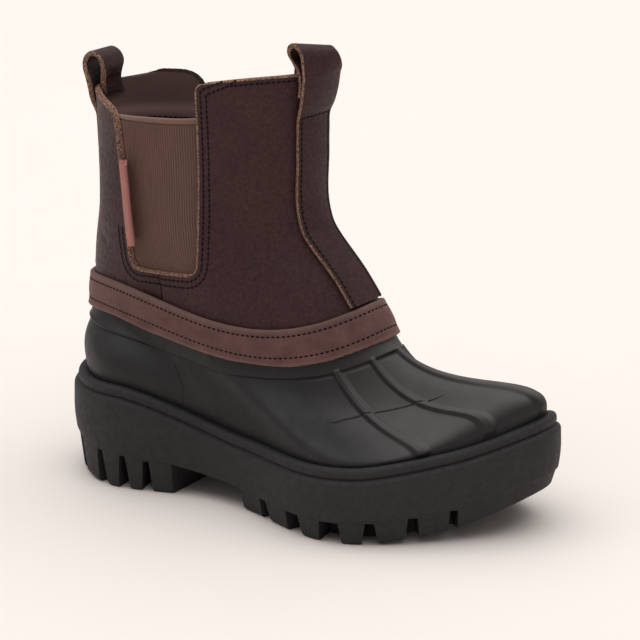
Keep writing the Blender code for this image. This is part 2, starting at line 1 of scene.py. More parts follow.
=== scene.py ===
"""The looks of a child's pull-on winter boot for the right foot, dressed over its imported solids.

Sizes are in millimetres, and each mesh is scaled to metres as it is made. +X runs from heel to toe,
-Y is the outer side of the foot, +Z is up, and the floor is at Z = 0.

A place on the upper is given by two numbers. The turn u runs once round the boot: 0 at the heel, 0.25 at
the outer side, 0.5 at the toe and 0.75 at the inner side. The step v runs up it: 0 at the sole's rim, 1 at
the joint of shell and shaft, and 2 at the collar.
"""

import json
import math

import bmesh
import bpy
import numpy as np
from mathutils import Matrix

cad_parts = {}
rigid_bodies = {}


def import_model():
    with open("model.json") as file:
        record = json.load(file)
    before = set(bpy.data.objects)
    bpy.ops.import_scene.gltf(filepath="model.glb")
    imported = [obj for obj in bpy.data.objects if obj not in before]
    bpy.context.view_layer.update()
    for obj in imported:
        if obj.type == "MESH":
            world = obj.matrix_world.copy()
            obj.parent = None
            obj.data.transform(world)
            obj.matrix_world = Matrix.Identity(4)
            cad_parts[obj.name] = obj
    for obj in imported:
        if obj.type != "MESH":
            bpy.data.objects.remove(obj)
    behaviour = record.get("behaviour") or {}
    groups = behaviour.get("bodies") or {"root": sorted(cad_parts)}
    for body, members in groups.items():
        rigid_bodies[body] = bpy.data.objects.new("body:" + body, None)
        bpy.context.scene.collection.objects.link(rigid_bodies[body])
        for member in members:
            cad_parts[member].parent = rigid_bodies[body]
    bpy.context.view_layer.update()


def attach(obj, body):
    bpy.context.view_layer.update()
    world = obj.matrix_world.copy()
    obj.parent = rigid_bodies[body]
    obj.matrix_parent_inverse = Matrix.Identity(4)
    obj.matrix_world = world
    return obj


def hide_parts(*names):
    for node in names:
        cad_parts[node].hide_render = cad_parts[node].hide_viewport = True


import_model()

MM = 0.001
WELD = 1e-7
STEP_NUDGE = 0.02

# Walls, and the gap between pieces that meet
FIT_GAP = 0.3
RUBBER_WALL = 2.6
LEATHER_WALL = 2.1
GORE_WALL = 1.4

# Sole's outline from above: x from the back of the heel, y from the middle line
OUTLINE = (
    ("heel back", 0.0, -4.0),
    ("heel outer", 29.0, -42.0),
    ("waist outer", 75.0, -35.0),
    ("ball outer", 138.0, -53.5),
    ("toe outer", 192.0, -23.0),
    ("toe", 212.0, 6.0),
    ("toe inner", 197.0, 32.0),
    ("ball inner", 150.0, 37.0),
    ("waist inner", 90.0, 25.0),
    ("heel inner", 32.0, 29.0),
)
TOE_ROW = 5
RUN_SAMPLES = 80

# Heights along the sole, by x: top of the rim, heads of the side lugs, and underside with its toe spring
LEVEL_X = (0.0, 35.0, 90.0, 150.0, 185.0, 212.0)
LEVELS = {
    "rim": (42.0, 43.5, 30.5, 31.5, 37.5, 47.5),
    "lug": (18.5, 17.0, 10.0, 10.5, 15.0, 25.0),
    "ground": (1.5, 0.0, 0.0, 0.0, 5.0, 17.0),
}

# Sole's side from the tread up over the rim into the cup: inset from the outline, level, rise above it, and
# how far the corner is rounded off to either side
RIM_INSET = 5.6
CUP_DEPTH = 6.0
SOLE_PROFILE = (
    ("tread edge", 5.2, "ground", 0.0, 0.5),
    ("tread bevel", 3.8, "ground", 1.2, 0.8),
    ("lug head", 1.8, "lug", -0.5, 0.25),
    ("wall foot", 1.0, "lug", 0.0, 0.4),
    ("wall belly", 0.0, "lug", 7.0, 4.0),
    ("wall top", 0.2, "rim", -6.0, 0.6),
    ("wall shoulder", 0.9, "rim", -4.9, 0.35),
    ("groove", 2.6, "rim", -4.4, 0.35),
    ("bead foot", 1.9, "rim", -3.6, 0.5),
    ("bead crown", 1.9, "rim", -1.2, 0.9),
    ("bead lip", 3.0, "rim", 0.0, 0.75),
    ("cup lip", RIM_INSET, "rim", -0.3, 0.15),
    ("cup floor", RIM_INSET, "rim", -CUP_DEPTH, 0.0),
)

# Gaps between the side lugs: turn, width at the lugs' heads and width at the floor
TREAD_GAPS = (
    ("heel corner", 0.060, 2.6, 5.0),
    ("heel 1", 0.095, 2.8, 6.0),
    ("heel 2", 0.118, 2.4, 6.0),
    ("heel 3", 0.138, 2.4, 5.4),
    ("forefoot 1", 0.248, 4.2, 6.8),
    ("forefoot 2", 0.285, 7.4, 9.4),
    ("forefoot 3", 0.322, 8.0, 10.4),
    ("forefoot 4", 0.355, 3.6, 7.4),
    ("forefoot 5", 0.388, 4.0, 6.0),
    ("toe", 0.419, 3.2, 4.2),
)
GAP_REACH = 4.0
GAP_DEPTH = 15.0
GAP_LIFT = 0.2
GAP_SLOPE = 0.6
CUT_BELOW = 2.0
CUT_REACH = 60.0

# Gap under the arch, between the heel's breast and the first forefoot lug
ARCH_BACK = 60.5
ARCH_FRONT = 93.5
ARCH_DRAFT = 1.0
ARCH_STEPS = 7

# Channels along the tread: x and y of both ends
CHANNEL_WIDTH = 6.0
CHANNEL_DEPTH = 4.5
TREAD_CHANNELS = (
    ("heel", 8.0, -5.0, 64.0, -5.0),
    ("forefoot", 90.0, -6.0, 196.0, -4.0),
)

# Insole on the floor of the cup, and its rounded edge: inset, and drop below its top
INSOLE_THICKNESS = 4.0
INSOLE_SLACK = 1.0
INSOLE_EDGE = ((0.2, 1.0), (0.7, 0.2), (1.4, 0.0))

# Rings of the upper: step v, x at back and front, y of the middle, half-width, heights at back, side and
# front, sag of the front quarters, bluntness of back and front, and turn from the sole's length in degrees
RINGS = (
    ("joint", 1.00, 4.0, 141.5, -2.5, 31.5, 69.5, 69.0, 77.0, 11.0, 0.10, 0.05, -3.0),
    ("instep", 1.15, 6.4, 129.0, -3.0, 31.5, 89.5, 85.0, 94.0, 4.5, 0.05, 0.05, -2.0),
    ("ankle", 1.32, 8.6, 112.0, -3.0, 30.5, 108.0, 101.5, 114.5, 0.0, 0.00, -0.10, -2.0),
    ("shin", 1.65, 5.5, 110.5, -2.0, 29.0, 137.0, 136.0, 144.5, 0.5, -0.10, 0.05, -4.5),
    ("collar", 2.00, 3.0, 112.5, -2.0, 30.5, 155.5, 168.5, 177.0, -9.0, -0.20, 0.05, -5.0),
)

# How the shell leaves the rim and reaches the joint, from heel (0) to toe (1): the height and the outward
# lean of its lower handle, and the length of its upper one
LAST = (
    ("heel", 0.00, 18.0, 5.0, 14.0),
    ("heel side", 0.25, 18.0, 4.0, 8.0),
    ("waist", 0.50, 10.5, 2.0, 11.0),
    ("ball", 0.75, 7.0, 1.5, 36.5),
    ("toe side", 0.90, 23.0, -1.0, 49.0),
    ("toe", 1.00, 24.5, 6.0, 37.0),
)

# Shell: it lies a step below the strip under the band, and its ridges run from that strip to the toe.
# Below the strip an undercut comes in towards the toe, and on its edge a slight lip fades out behind there
STRIP_FOOT = 11.5
SHELL_RECESS = 0.9
UNDERCUT = 0.7
UNDERCUT_WIDTH = 1.9
UNDERCUT_TURNS = (0.33, 0.38)
LIP_RISE = 0.3
LIP_UP = 0.6
LIP_WIDTH = 1.2
LIP_TURNS = (0.20, 0.32)

# Strip's lower edge and face: rise above its foot, and out from the upper
STRIP_EDGE = (
    *((0.05, -0.75), (0.12, -0.40), (0.30, -0.12), (0.60, -0.01)),
    *((1.20, 0.0), (2.00, 0.0), (3.50, 0.0), (6.00, 0.0)),
)

# Each ridge: its turn, and half the width of its foot and of its crown, in turns. Two shares then widen the
# foot and narrow the crown
RIDGE_RISE = 1.45
RIDGE_FADE = 0.07
RIDGE_FOOT = 1.15
RIDGE_CROWN = 0.7
RIDGES = (
    ("outer side", 0.396, 0.0065, 0.0030),
    ("outer front", 0.447, 0.0065, 0.0030),
    ("middle", 0.500, 0.0090, 0.0050),
    ("inner front", 0.553, 0.0065, 0.0030),
    ("inner side", 0.604, 0.0065, 0.0030),
)

# Edge of the toe cap's layer across the shell, from its outer end to the middle: turn and step, and the
# distances of the shell's rows from it
TOE_CAP_LINE = (
    ("outer end", 0.345, 0.585),
    ("outer bend", 0.374, 0.640),
    ("side ridge", 0.400, 0.668),
    ("front ridge", 0.442, 0.655),
    ("beside middle", 0.470, 0.597),
    ("middle", 0.500, 0.560),
)
CAP_DEPTH = 0.32
CAP_HALF_WIDTH = 0.55
CAP_FADE = 0.014
CAP_STOP = 0.458
CAP_BESIDE = (-2.0, -1.2, -0.8, -0.5, -0.25, 0.0, 0.25, 0.5, 0.8, 1.2, 2.0)

# Mould line up the shell's side: turn at its foot and head, step of its head
MOULD_TURNS = (0.1645, 0.1790)
MOULD_HEAD = 0.46
MOULD_DEPTH = 0.34
MOULD_HALF_WIDTH = 0.45

# Band over the joint: how far it reaches up and down from there, the heights of its rows of stitches, the
# waves and ripples round it, and its rounded edges, by the distance from each edge and the drop of its face
BAND_UP = 10.0
BAND_DOWN = 5.5
BAND_THICKNESS = 1.8
BAND_ROWS = (-1.7, 7.1)
BAND_PUFF = 0.3
BAND_GROOVE = 0.2
BAND_GROOVE_WIDTH = 0.7
BAND_WAVE = 0.45
BAND_WAVES = 9
BAND_RIPPLE = 0.2
BAND_RIPPLES = 97
BAND_FOOT_EDGE = ((0.0, 0.7), (0.1, 0.3), (0.45, 0.0))
BAND_HEAD_EDGE = ((0.45, 0.02), (0.15, 0.25), (0.0, 0.7))

# Gore notches from the side, from the back of the collar round to its front: x, z and corner radius
NOTCH_START = -0.5
NOTCH_OUTER = (
    ("above back", -6.0, 190.0, 0.0),
    ("collar back", -6.0, 156.8, 0.0),
    ("rear corner", 25.0, 151.5, 6.0),
    ("rear foot", 38.5, 90.5, 6.0),
    ("front foot", 72.0, 93.0, 6.0),
    ("front corner", 71.0, 170.5, 5.0),
    ("collar front", 84.0, 177.0, 0.0),
    ("above front", 84.0, 190.0, 0.0),
)
NOTCH_INNER = (
    ("above back", 8.0, 190.0, 0.0),
    ("collar back", 8.0, 156.4, 0.0),
    ("crown", 20.0, 158.4, 10.0),
    ("rear corner", 38.2, 158.6, 11.0),
    ("rear foot", 43.5, 90.5, 6.0),
    ("front foot", 79.0, 93.0, 6.0),
    ("front corner", 86.0, 172.0, 5.0),
    ("collar front", 97.0, 178.0, 0.0),
    ("above front", 97.0, 190.0, 0.0),
)
NOTCH_SIDES = ((NOTCH_OUTER, -1), (NOTCH_INNER, 1))
NOTCH_ARC = 10
NOTCH_STEP = 0.4

# Raw edge of the leather round the notches: into the notch and out from the leather
RAW_EDGE = (
    *((-0.50, -0.10), (-0.10, 0.14), (0.25, 0.08), (0.62, -0.30)),
    *((0.95, -0.85), (1.25, -1.45), (1.40, -2.05), (-0.50, -2.05)),
)

# Share by which that edge is thinner along the foot of a notch, the steps where it thickens, and how far it
# tapers at its ends
RAW_FOOT = 0.5
RAW_FOOT_STEPS = (1.2, 1.32)
RAW_TAPER = 7.0

# Rows of stitches round the gores: their distances from the notch, and the height where they start
NOTCH_STITCHES = (2.0, 4.5)
NOTCH_STITCH_TOP = 106.0

# Gore panels behind the notches, in turns and steps of the upper: the top edge slopes between two turns
GORE_TURNS = (0.135, 0.320)
GORE_FOOT = 1.14
GORE_TOP_OUTER = 1.842
GORE_TOP_INNER = 1.808
RIB_PITCH = 1.2
RIB_HEIGHT = 0.2
GORE_TILT_TURNS = (0.15, 0.30)
GORE_TILT = (-0.016, 0.009)
HEM_DEPTH = 1.8
HEM_RISE = 0.3
HEM_GROOVE = 0.4
HEM_ROUND = 0.35

# Seam below the gores, where the front leather laps over the rear one: turns and steps at its foot
# and head, the height of the lap, and its edge, fade and gap in turns behind the seam
SEAM_TURNS = (0.2169, 0.2219)
SEAM_STEPS = (1.0825, 1.21)
SEAM_ZONE = (0.208, 0.226)
SEAM_STEP = 0.9
SEAM_EDGE = (-0.0004, 0.0010)
SEAM_FADE = (0.004, 0.04)
SEAM_GAP = 1.0
SEAM_GAP_PLACE = 0.0018
SEAM_GAP_WIDTH = 0.0024
SEAM_TOP = 1.3

# Soft creases of the shaft, the same on both sides: turn and step of both ends, half-width and depth. They
# bow by a part of a step, fade at both ends, and take a step as so many millimetres
SHAFT_CREASES = (
    ("ankle front", 0.372, 1.352, 0.462, 1.322, 4.0, 0.45),
    ("ankle side", 0.322, 1.300, 0.408, 1.262, 3.5, 0.40),
    ("instep", 0.380, 1.235, 0.455, 1.205, 3.5, 0.30),
    ("heel", 0.055, 1.262, 0.135, 1.218, 3.5, 0.35),
)
CREASE_RATE = 100.0
CREASE_BOW = 0.02
CREASE_FADE = 0.35

# Collar's cut edge from its outer to its inner side: distance down and out
COLLAR_LIP = ((0.5, 0.0), (0.2, -0.06), (0.05, -0.25), (0.0, -0.5), (0.0, -1.7), (0.1, -2.3), (0.5, -2.8))

# Facing inside the collar: how far it reaches down and how thick it is
FACING_DEPTH = 26.0
FACING_THICKNESS = 0.7

# Lining inside: steps of its foot and top, where its fleece gives way to leather, and of its row of stitches,
# the turns where that row ends, distance out from the upper, thickness, and height of the fleece's lumps
LINING_STEPS = (0.05, 1.828)
LINING_CHANGE = 1.58
LINING_ROW = 1.70
LINING_ROW_TURNS = (0.66, 0.90)
LINING_OUT = -4.0
LINING_THICKNESS = 1.6
LUMP_HEIGHT = 0.45

# Pull straps: the turn of the middle, the loop's lean to the heel, its turn about its own rise, its tilt, and
# the share of half its width by which its leg swings to the inner side between two depths. Then the path of
# the middle layer from below the loop's seam, over the loop and down to its tail, as the distance out from
# the leather and the height above the collar
STRAP_WIDTH = 16.6
STRAP_THICKNESS = 2.1
STRAP_FLATNESS = 0.7
STRAP_EASE = 10.0
STRAP_FOOT_GAP = 0.9
STRAP_BEND = ((0.985, 0.86), (1.0, 0.5), (1.005, 0.0), (1.0, -0.5), (0.985, -0.86))
SWING_DEPTHS = (1.0, 14.0)
FRONT_POSE = (0.490, math.radians(14.0), math.radians(-18.0), math.radians(14.0), 0.0)
FRONT_PATH = (
    ("leg", 1.15, -36.0),
    ("below the seam", 1.15, -24.0),
    ("seam", 1.25, -17.2),
    ("over the tail", 2.9, -12.4),
    ("swell", 3.9, -7.5),
    ("front", 4.3, -2.0),
    ("front top", 4.3, 3.5),
    ("before the crown", 3.0, 8.2),
    ("crown", -0.8, 10.5),
    ("behind the crown", -5.4, 9.0),
    ("back", -7.0, 5.8),
    ("back foot", -5.0, 3.0),
    ("collar", -1.0, 0.8),
    ("tail side", 1.15, -3.0),
    ("tail", 1.15, -8.5),
)
BACK_POSE = (0.004, math.radians(6.0), math.radians(6.0), math.radians(-4.0), 0.78)
BACK_PATH = (
    ("leg", 1.15, -30.0),
    ("below the seam", 1.15, -24.0),
    ("seam", 1.15, -14.0),
    ("collar outside", 1.2, -1.0),
    ("front", 1.5, 3.0),
    ("front top", 1.7, 7.2),
    ("before the crown", 0.7, 10.8),
    ("crown", -2.4, 12.9),
    ("behind the crown", -5.4, 11.4),
    ("back", -6.6, 7.9),
    ("back foot", -5.6, 4.4),
    ("collar inside", -4.3, 1.4),
    ("tail", -4.0, -4.0),
)
STRAPS = ((FRONT_POSE, FRONT_PATH), (BACK_POSE, BACK_PATH))
STRAP_SEAM = -16.8
STRAP_STITCH_SIDE = 0.82

# Plain folded tag at the rear edge of the outer gore, from its top to its foot
TAG_TURNS = (0.1700, 0.1830)
TAG_STEPS = (1.615, 1.318)
TAG_LIFT = -0.8
TAG_ANGLE = 58.0
TAG_DEPTH = 9.0
TAG_THICKNESS = 3.0
TAG_SLOT = 0.15

# Row of stitches under the collar's front: the turns where it ends, and how far down it lies
COLLAR_ROW_TURNS = (0.345, 0.462)
COLLAR_ROW_DOWN = 2.1

# Stitches: distance from one to the next, the thread's half-width, half-length as a share of that distance,
# and lift, and half the sizes of the needle holes and of the band's sunken stitches along, across and up
STITCH_PITCH = 2.15
THREAD = 0.26
THREAD_SHARE = 0.44
THREAD_LIFT = 0.02
HOLE = (0.486, 0.54, 0.14)
BAND_STITCH = (0.76, 0.42, 0.26)

# How finely each piece is divided
SOLE_TURNS = 300
INSOLE_TURNS = 120
SHELL_TURNS = 380
SHELL_ROWS = 60
SHAFT_TURNS = 360
SHAFT_ROWS = 90
GORE_COLUMNS = 300
GORE_ROWS = 60
BAND_TURNS = 480
STRAP_ROWS = 220
TAG_ROWS = 40
LINING_TURNS = 240
LINING_ROWS = 90

# Plain finishes: noise of the mottling (size, detail and roughness), dark and light colour, size and run of
# the roughness, noise and depth of the bump, and numbers set on the shader
PLAIN_FINISHES = {
    "sole rubber": (
        *((6.0,), (0.0165, 0.0153, 0.0160), (0.0255, 0.0238, 0.0245)),
        *((2.0, 0.62, 0.80), (0.7, 2.0, 0.24), {"Specular_IOR_Level": 0.35}),
    ),
    "inner leather": (
        *((9.0, 4.0), (0.088, 0.046, 0.044), (0.150, 0.080, 0.076)),
        *((2.0, 0.55, 0.72), (0.5, 2.0, 0.03), {"Specular_IOR_Level": 0.4}),
    ),
    "tag leather": (
        *((3.0, 4.0), (0.32, 0.125, 0.105), (0.46, 0.205, 0.175)),
        *((1.0, 0.62, 0.80), (0.4, 3.0, 0.05), {"Specular_IOR_Level": 0.3}),
    ),
    "grey fleece": (
        *((1.2, 4.0, 0.7), (0.10, 0.095, 0.09), (0.34, 0.33, 0.32)),
        *((), (1.0, 4.0, 0.7, 0.5), {"Roughness": 1.0, "Specular_IOR_Level": 0.1, "Sheen_Weight": 0.4}),
    ),
    "grey felt": (
        *((0.8, 5.0, 0.7), (0.13, 0.125, 0.12), (0.27, 0.26, 0.245)),
        *((), (0.6, 4.0, 0.7, 0.2), {"Roughness": 1.0, "Specular_IOR_Level": 0.1, "Sheen_Weight": 0.3}),
    ),
    "dark thread": (
        *((0.5,), (0.010, 0.006, 0.006), (0.026, 0.015, 0.014)),
        *((), (0.25, 1.0, 0.05), {"Roughness": 0.8, "Specular_IOR_Level": 0.15}),
    ),
    # Needle hole: near-black, painted shade inside the needle holes and, in part, on the band's sunken
    # stitches
    "needle hole": (
        *((0.5,), (0.004, 0.003, 0.003), (0.010, 0.007, 0.006)),
        *((), (), {"Roughness": 0.95, "Specular_IOR_Level": 0.1}),
    ),
    "pale floor": (
        *((60.0,), (0.905, 0.837, 0.794), (0.915, 0.847, 0.804)),
        *((), (), {"Roughness": 0.95, "Specular_IOR_Level": 0.0}),
    ),
}

# Floor and lights, in metres: place, point that each light faces, its size, power in watts and colour
FLOOR_REACH = 8.0
SKY_COLOUR = (1.0, 0.985, 0.97)
SKY_STRENGTH = 0.35
LAMPS = (
    ("overhead", (-0.15, 0.15, 2.6), (-0.15, 0.15, 0.0), (5.0, 5.0), 109.0, (1.0, 0.99, 0.985)),
    ("behind", (-1.0, 2.6, 1.8), (0.0, 0.0, 0.08), (3.0, 1.6), 6.0, (1.0, 0.985, 0.975)),
    ("left", (-1.3, -0.5, 0.7), (0.0, 0.0, 0.08), (0.8, 0.8), 0.9, (1.0, 0.98, 0.96)),
)

# Camera: angles in degrees, distance, the point that it faces, and that point's scale and picture place
PICTURE = 640
CAMERA_TURN = 31.57
CAMERA_RISE = 17.20
CAMERA_DISTANCE = 1975.5
CAMERA_TARGET = (106.0, 0.0, 90.0)
PIXELS_PER_MM = 2.514
TARGET_PIXEL = (314.63, 276.95)
SENSOR = 36.0


def hermite(t, width, start, leave, end, arrive):
    """A cubic from start to end over a run of the given width, with its slopes at both ends."""
    return (
        start * (1 + 2 * t) * (1 - t) ** 2
        + leave * width * t * (1 - t) ** 2
        + end * (3 - 2 * t) * t**2
        + arrive * width * (t - 1) * t**2
    )


def smooth(at, knots, values, flat_ends=False):
    """A smooth curve through the values at the knots that never overshoots them."""
    knots = np.asarray(knots, float)
    values = np.asarray(values, float)
    at = np.clip(np.asarray(at, float), knots[0], knots[-1])
    step = np.diff(knots)
    rise = np.diff(values) / step
    slope = np.zeros(len(knots))
    same = rise[:-1] * rise[1:] > 0
    slope[1:-1][same] = 2 * (rise[:-1] * rise[1:])[same] / (rise[:-1] + rise[1:])[same]
    if not flat_ends:
        slope[0], slope[-1] = rise[0], rise[-1]
    i = np.clip(np.searchsorted(knots, at, side="right") - 1, 0, len(step) - 1)
    return hermite((at - knots[i]) / step[i], step[i], values[i], slope[i], values[i + 1], slope[i + 1])


def ramp(at, start, end):
    """A soft climb from 0 at start to 1 at end."""
    t = np.clip((np.asarray(at, float) - start) / (end - start), 0, 1)
    return t * t * (3 - 2 * t)


def closed_spline(points, samples):
    """Points along the closed cubic spline through the given ones, evenly many in each run."""
    points = np.asarray(points, float)
    count = len(points)
    chord = np.linalg.norm(np.roll(points, -1, 0) - points, axis=1)
    before = np.roll(chord, 1)
    system = np.zeros((count, count))
    right = np.zeros_like(points)
    for i in range(count):
        system[i, i - 1] = chord[i]
        system[i, i] = 2 * (chord[i] + before[i])
        system[i, (i + 1) % count] = before[i]
        ahead = (points[(i + 1) % count] - points[i]) * before[i] / chord[i]
        behind = (points[i] - points[i - 1]) * chord[i] / before[i]
        right[i] = 3 * (ahead + behind)
    slope = np.linalg.solve(system, right)
    t = np.linspace(0, 1, samples, endpoint=False)[:, None]
    following = [(i + 1) % count for i in range(count)]
    runs = [hermite(t, chord[i], points[i], slope[i], points[j], slope[j]) for i, j in enumerate(following)]
    return np.concatenate(runs)


def unit(vectors):
    """Vectors in the same directions with a length of 1."""
    return vectors / np.linalg.norm(vectors, axis=-1, keepdims=True)


def arc_length(points):
    """The distance along a run of points to each of them."""
    return np.concatenate([[0], np.cumsum(np.linalg.norm(np.diff(points, axis=0), axis=1))])


def interpolate(at, places, rows):
    """Rows of numbers at some places, from the rows at given places."""
    return np.stack([np.interp(at, places, rows[:, k]) for k in range(rows.shape[1])], -1)


def resample(points, at):
    """Points along a run of points at the given distances."""
    return interpolate(at, arc_length(points), points)


def open_path(rows, count):
    """Points evenly along a smooth open path through the rows."""
    rows = np.asarray(rows, float)
    steps = np.concatenate([[0], np.cumsum(np.linalg.norm(np.diff(rows, axis=0), axis=1) ** 0.7)])
    slopes = np.gradient(rows, steps, axis=0)
    t = np.linspace(0, 1, 24, endpoint=False)[:, None]
    runs = []
    for i, width in enumerate(np.diff(steps)):
        runs.append(hermite(t, width, rows[i], slopes[i], rows[i + 1], slopes[i + 1]))
    fine = np.vstack(runs + [rows[-1:]])
    return resample(fine, np.linspace(0, arc_length(fine)[-1], count))


def trace_outline():
    """The sole's outline as a closed run of points, with the turn u at each of them."""
    run = closed_spline([row[1:] for row in OUTLINE], RUN_SAMPLES)
    run = np.vstack([run, run[:1]])
    arc = arc_length(run)
    toe = arc[TOE_ROW * RUN_SAMPLES]
    turn = np.where(arc <= toe, 0.5 * arc / toe, 0.5 + 0.5 * (arc - toe) / (arc[-1] - toe))
    return run, turn


OUTLINE_RUN, OUTLINE_TURN = trace_outline()
ORIGIN = np.array([*((OUTLINE_RUN.min(0) + OUTLINE_RUN.max(0)) / 2), 0.0])


def outline(u):
    """The sole's outline at the turn u, and its inward normal."""
    u = np.asarray(u, float)
    nudge = 0.004
    turns = (u, u - nudge, u + nudge)
    here, before, after = (interpolate(turn % 1.0, OUTLINE_TURN, OUTLINE_RUN) for turn in turns)
    along = unit(after - before)
    return here, np.stack([-along[..., 1], along[..., 0]], -1)


def level(x, name):
    """The height of one of the sole's levels at x."""
    return smooth(x, LEVEL_X, LEVELS[name])


def sole_point(u, inset, name, rise):
    """A point of the sole: inset from the outline, at a rise above one of its levels."""
    place, inward = outline(u)
    z = level(place[..., 0], name) + rise
    return np.concatenate([place + inward * inset, z[..., None]], -1)


def ring_points(u):
    """The points at the turn u of each ring of the upper."""
    angle = 2 * math.pi * np.asarray(u, float)
    back = np.maximum(np.cos(angle), 0)
    front = np.maximum(-np.cos(angle), 0)
    rings = []
    for row in RINGS:
        x_back, x_front, y_mid, half, z_back, z_side, z_front, sag, blunt_back, blunt_front, turn = row[2:]
        x = (x_back - x_front) / 2 * np.cos(angle)
        y = -half * np.sin(angle) * (1 + blunt_back * back**2 + blunt_front * front**2)
        z = z_side + (z_back - z_side) * back**2 + (z_front - z_side) * front**2
        z = z + sag * np.sin(angle) ** 2 * np.cos(angle)
        turn = math.radians(turn)
        along = (x_back + x_front) / 2 + x * math.cos(turn) - y * math.sin(turn)
        across = y_mid + x * math.sin(turn) + y * math.cos(turn)
        rings.append(np.stack([along, across, z], -1))
    return rings


def upper_point(u, v):
    """The upper's outer surface at the turn u and the step v."""
    u, v = np.broadcast_arrays(np.asarray(u, float), np.asarray(v, float))
    steps = [row[1] for row in RINGS]
    rings = ring_points(u)
    last = len(rings) - 1
    slopes = [(rings[k + 1] - rings[k - 1]) / (steps[k + 1] - steps[k - 1]) for k in range(1, last)]
    first_slope = 2 * (rings[1] - rings[0]) / (steps[1] - steps[0]) - slopes[0]
    last_slope = 2 * (rings[last] - rings[last - 1]) / (steps[last] - steps[last - 1]) - slopes[-1]
    slopes = [first_slope, *slopes, last_slope]

    toeward = 1 - np.abs(1 - 2 * (u % 1.0))
    places = [row[1] for row in LAST]
    rise, lean, reach = (smooth(toeward, places, [row[c] for row in LAST], True) for c in (2, 3, 4))
    start = sole_point(u, RIM_INSET + FIT_GAP - SHELL_RECESS, "rim", 0.0)
    _, inward = outline(u)
    lift = start + np.concatenate([-inward * lean[..., None], rise[..., None]], -1)
    arrive = rings[0] - unit(first_slope) * reach[..., None]
    t = np.clip(v, 0, 1)[..., None]
    ease = 1 - t
    surface = start * ease**3 + 3 * lift * t * ease**2 + 3 * arrive * t**2 * ease + rings[0] * t**3

    for k in range(last):
        width = steps[k + 1] - steps[k]
        t = np.clip((v - steps[k]) / width, 0, 1)[..., None]
        run = hermite(t, width, rings[k], slopes[k], rings[k + 1], slopes[k + 1])
        surface = np.where((v > steps[k])[..., None], run, surface)
    return surface


def upper_normal(u, v):
    """The upper's outward normal at the turn u and the step v."""
    du, dv = 0.002, 0.004
    around = upper_point(u + du, v) - upper_point(u - du, v)
    upward = upper_point(u, np.minimum(v + dv, 2)) - upper_point(u, np.maximum(v - dv, 0))
    return unit(np.cross(around, upward))


def upper_offset(u, v, out):
    """A point at the distance out from the upper's outer surface, along its normal."""
    u, v = np.broadcast_arrays(np.asarray(u, float), np.asarray(v, float))
    return upper_point(u, v) + upper_normal(u, v) * np.broadcast_to(out, u.shape)[..., None]


def rise_rate(u, low, high):
    """The distance up the surface for each step, between two steps."""
    return np.linalg.norm(upper_point(u, high) - upper_point(u, low), axis=-1) / (high - low)


def turn_rate(u, v, nudge):
    """The distance round the surface for each turn, about the turn u."""
    return np.linalg.norm(upper_point(u + nudge, v) - upper_point(u - nudge, v), axis=-1) / (2 * nudge)


def climb(u, distance):
    """The step v at a distance up (or down) the surface from the joint."""
    beside = 1 + math.copysign(STEP_NUDGE, distance)
    return 1 + distance / rise_rate(u, min(beside, 1.0), max(beside, 1.0))


def collar_step(u, down):
    """The step v at a distance down the surface from the collar."""
    return 2.0 - down / rise_rate(u, 2.0 - STEP_NUDGE, 2.0)


def find_upper(x, z, side):
    """The turn and step of places on one side of the upper, from their x and z."""
    u = np.full(len(x), 0.5 + 0.25 * side)
    v = np.full(len(x), 1.5)
    nudge = 1e-4
    for _ in range(30):
        here = upper_point(u, v)
        by_u = (upper_point(u + nudge, v) - here) / nudge
        by_v = (here - upper_point(u, v - nudge)) / nudge
        miss_x, miss_z = x - here[:, 0], z - here[:, 2]
        area = by_u[:, 0] * by_v[:, 2] - by_v[:, 0] * by_u[:, 2]
        step_u = (miss_x * by_v[:, 2] - by_v[:, 0] * miss_z) / area
        step_v = (by_u[:, 0] * miss_z - miss_x * by_u[:, 2]) / area
        u = u + np.clip(step_u, -0.03, 0.03)
        v = np.clip(v + np.clip(step_v, -0.15, 0.15), 0.9, 2.0)
    return u, v


